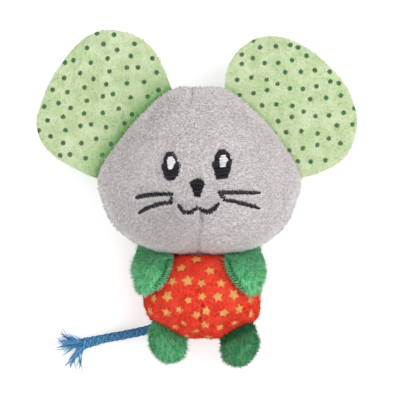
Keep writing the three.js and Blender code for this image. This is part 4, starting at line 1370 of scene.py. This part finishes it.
LIMB_HAIR = {"Length": 1.2 * MM, "Longest": 1.85, "Width": 0.1 * MM, "Lean": 0.85,
             "Ruffle": 0.58, "Curl": 0.15 * MM, "Segments": 2}
CLEAR = 0.3  # how far a limb's back keeps from what it lies on
CLOSING_STITCHES, CLOSING_LENGTH = 26, 1.5
OUT_OF_REACH = 99  # nothing lies this far down


def chest_height(x, y):
    """How high the body's front is."""
    share = BODY_OUTLINE.share(x, y)
    rise = BODY_FRONT * crown(share, *BODY_SHAPE) * chest_share(y)
    return np.where(share < 1, BODY_SEAM + SEAM_HALF + rise, -OUT_OF_REACH)


def drape(x, y):
    """How high the arms' seams lie: a flat dome over the chest."""
    across = (x - BODY_CENTRE[0]) / (1.23 * BODY_WIDTH / 2)
    along = (y - BODY_CENTRE[1]) / (1.19 * -BODY_CENTRE[1])
    return BODY_SEAM + BODY_FRONT + 3 - BODY_FRONT * (across ** 2 + along ** 2)


def dress_limb(limb, name, side, centre, seam, support, cut, aside, seed, deep_shade, wear_and_shade=0.0):
    """A limb between its seam's height and that of what it lies on, cut off by an outline. Two
    amounts
    paint shade on it: how dark its root is, and how dark all of it is at least."""
    width, length = limb["size"]
    shape = [(centre[0] + side * sx * width / 2, centre[1] + sy * length / 2)
             for sx, sy in limb["shares"]]
    whole = Outline(smooth_line(shape, closed=True), centre)
    outline = whole.moved_out(-LIMB_PILE_REACH).cut_by(*cut)
    slant = math.radians(limb["slant"])
    hinge = np.array((aside + side * limb["hinge"][0], limb["hinge"][1]))
    down = np.array((side * math.sin(slant), -math.cos(slant)))
    rides = bending("torso", name, hinge, down, seam(*hinge), (-2.0, 3.5))

    def thin(x, y):
        return 0.3 + 0.7 * smoothstep(way_along(x, y, hinge, down), -1, limb["pinch"])

    def upper(x, y, u):
        return seam(x, y) + SEAM_HALF + limb["depths"][0] * crown(
            u, *limb["shape"]) * thin(x, y)

    def lower(x, y, u):
        dome = SEAM_HALF + limb["depths"][1] * crown(u, *limb["shape"]) * thin(x, y)
        return np.maximum(seam(x, y) - dome, np.minimum(support(x, y) + CLEAR,
                                                        seam(x, y) - SEAM_HALF))

    front = Cloth(outline, LIMB_CELLS[0], upper)
    back = Cloth(outline, LIMB_CELLS[1], lower, up=False)
    plump(front, back, 0.5, 36)
    back.points[..., 2] = np.maximum(back.points[..., 2], support(back.x, back.y) + CLEAR)
    for up, panel, cloth in ((True, "front", front), (False, "back", back)):
        x, y = cloth.x, cloth.y
        # the plush lies in rows that fan out from near the limb's root
        dx, dy = x - centre[0] - side * limb["fan"][0], y - centre[1] - limb["fan"][1]
        far = np.maximum(np.hypot(dx, dy), 0.5)
        fan = np.stack([dx / far, dy / far, 0 * far], axis=-1)
        places = np.stack([fan[..., 0] * limb["row"], fan[..., 1] * limb["row"], far / 2.2],
                          axis=-1)
        rows = smoothstep(lumps(places, 1, seed), -0.4, 0.4)
        cloth.push(0.35 * lumps(cloth.points, 6, seed) + 0.16 * (rows - 0.5))
        # no pile grows where the limb's back lies on something
        bare = (cloth.points[..., 2] < support(x, y) + 1.2) & (not up)
        # painted shade: darker near the root, where the limb meets the body, and at least an even
        # painted shade all over
        from_root = np.maximum(way_along(x, y, hinge, down), 0)
        shaded = np.maximum(deep_shade * falloff(from_root, 4.5), wear_and_shade)
        # the closed edge: a groove of needle holes, painted darker as painted shade, with a pale
        # hem beside it
        turned = np.degrees(np.arctan2(y - outline.centre[1], side * (outline.centre[0] - x)))
        shift = (turned - limb["closed"][0]) % 360 / (limb["closed"][1] - limb["closed"][0])
        hem = smoothstep(shift, 0, 0.12) * (1 - smoothstep(shift, 0.88, 1))
        inside = (1 - outline.share(x, y)) * outline.reach(np.arctan2(
            y - outline.centre[1], x - outline.centre[0]))
        holes = 0.6 + 0.4 * np.sin(shift * CLOSING_STITCHES * math.tau)
        groove = hem * falloff(inside - 2.0, 0.5)
        cloth.push(-0.45 * groove * up)
        shaded = np.maximum(shaded, 0.8 * groove * holes * up)
        rows = np.maximum(rows, hem * falloff(inside - 0.8, 0.7))
        lay_panel(f"{name}_{panel}", cloth, "green_plush", {
            "pile": ~bare, "comb": fringed(fan, cloth, 0.7), "root": shaded, "rows": rows},
                  thickness=0.8, fill=0.6, rides=rides, Density=(6e6 if up else 5e6),
                  Seed=seed + up, **LIMB_HAIR)
        if up:
            overcast(f"{name}_stitches", cloth, outline, limb["closed"], side, rides, seed)
    stuff(f"{name}_stuffing", outline, 1.3, seam,
          (limb["depths"][0] - 2.7, max(0.3, limb["depths"][1] - 3.0)), limb["shape"], rides,
          f"{name}_filling", thin)


def overcast(name, cloth, outline, closed, side, rides, seed):
    """The row of slanting stitches that closes one edge of a limb."""
    tree = cloth.tree()
    places = []
    for angle in np.linspace(math.radians(closed[0]), math.radians(closed[1]), CLOSING_STITCHES):
        if side == LEFT:
            angle = math.pi - angle
        reach = 0.86 * float(outline.reach(angle))
        spot = outline.centre + reach * np.array((math.cos(angle), math.sin(angle)))
        places.append(dropped(tree, *spot))
    line, up = (np.array(part) for part in zip(*places))
    along = unit(np.gradient(line, axis=0))
    across = np.cross(up, along) * 0.85 + along * 0.5 * side
    piece = embroider(name, [(line, up, across, np.full(len(line), CLOSING_LENGTH * MM))],
                      "green_thread", seed, Spacing=1.0, Thread=0.42, Lift=0.9, Ragged=0.3)
    settle(piece, rides)


def dress_limbs():
    for side, word in SIDES:
        dress_limb(ARM, f"arm_{word}", side, (side * 18.8 - 0.35, -6.1), drape,
                   lambda x, y: chest_height(x, y) + 0.2, (HEAD_OUTLINE, 0.985), 0, 40 + side,
                   0.3)
    # each foot's painted shade near its root and all over; the left foot's is darker
    for side, word, drop, deep_shade, wear_and_shade in ((LEFT, "left", 1.1, 1.0, 0.6),
                                         (RIGHT, "right", -0.4, 0.4, 0.25)):
        dress_limb(FOOT, f"foot_{word}", side, (1.6 + side * 14.4, -35 - drop),
                   lambda x, y: BODY_SEAM, lambda x, y: 0 * x - OUT_OF_REACH,
                   (BODY_OUTLINE, 0.95), 1, 50 + side, deep_shade, wear_and_shade)


dress_limbs()

# ---------------------------------------------------------------- what is inside the body


def fill_body():
    stuff("body_stuffing", BODY_OUTLINE, 2.2, lambda x, y: BODY_SEAM, (14.0, 14.4), BODY_SHAPE,
          "torso", "body_filling", lambda x, y: chest_share(y) ** 0.8)
    centre = np.array((1.0, 14 - BODY_LENGTH))
    pillow = Outline(smooth_line([centre + p for p in ((8.5, 0), (0, 10), (-8.5, 0), (0, -10))],
                                 closed=True), centre)
    front, back = (Cloth(pillow, 30, lambda x, y, u: BODY_SEAM + s * (
        0.15 + 4 * crown(u, 2, 0.8))) for s in (1, -1))
    sachet = front.piece("catnip_sachet_cloth", "sachet_cloth", None, {}, back.points)
    settle(sachet, "torso", ["catnip_sachet"])


fill_body()
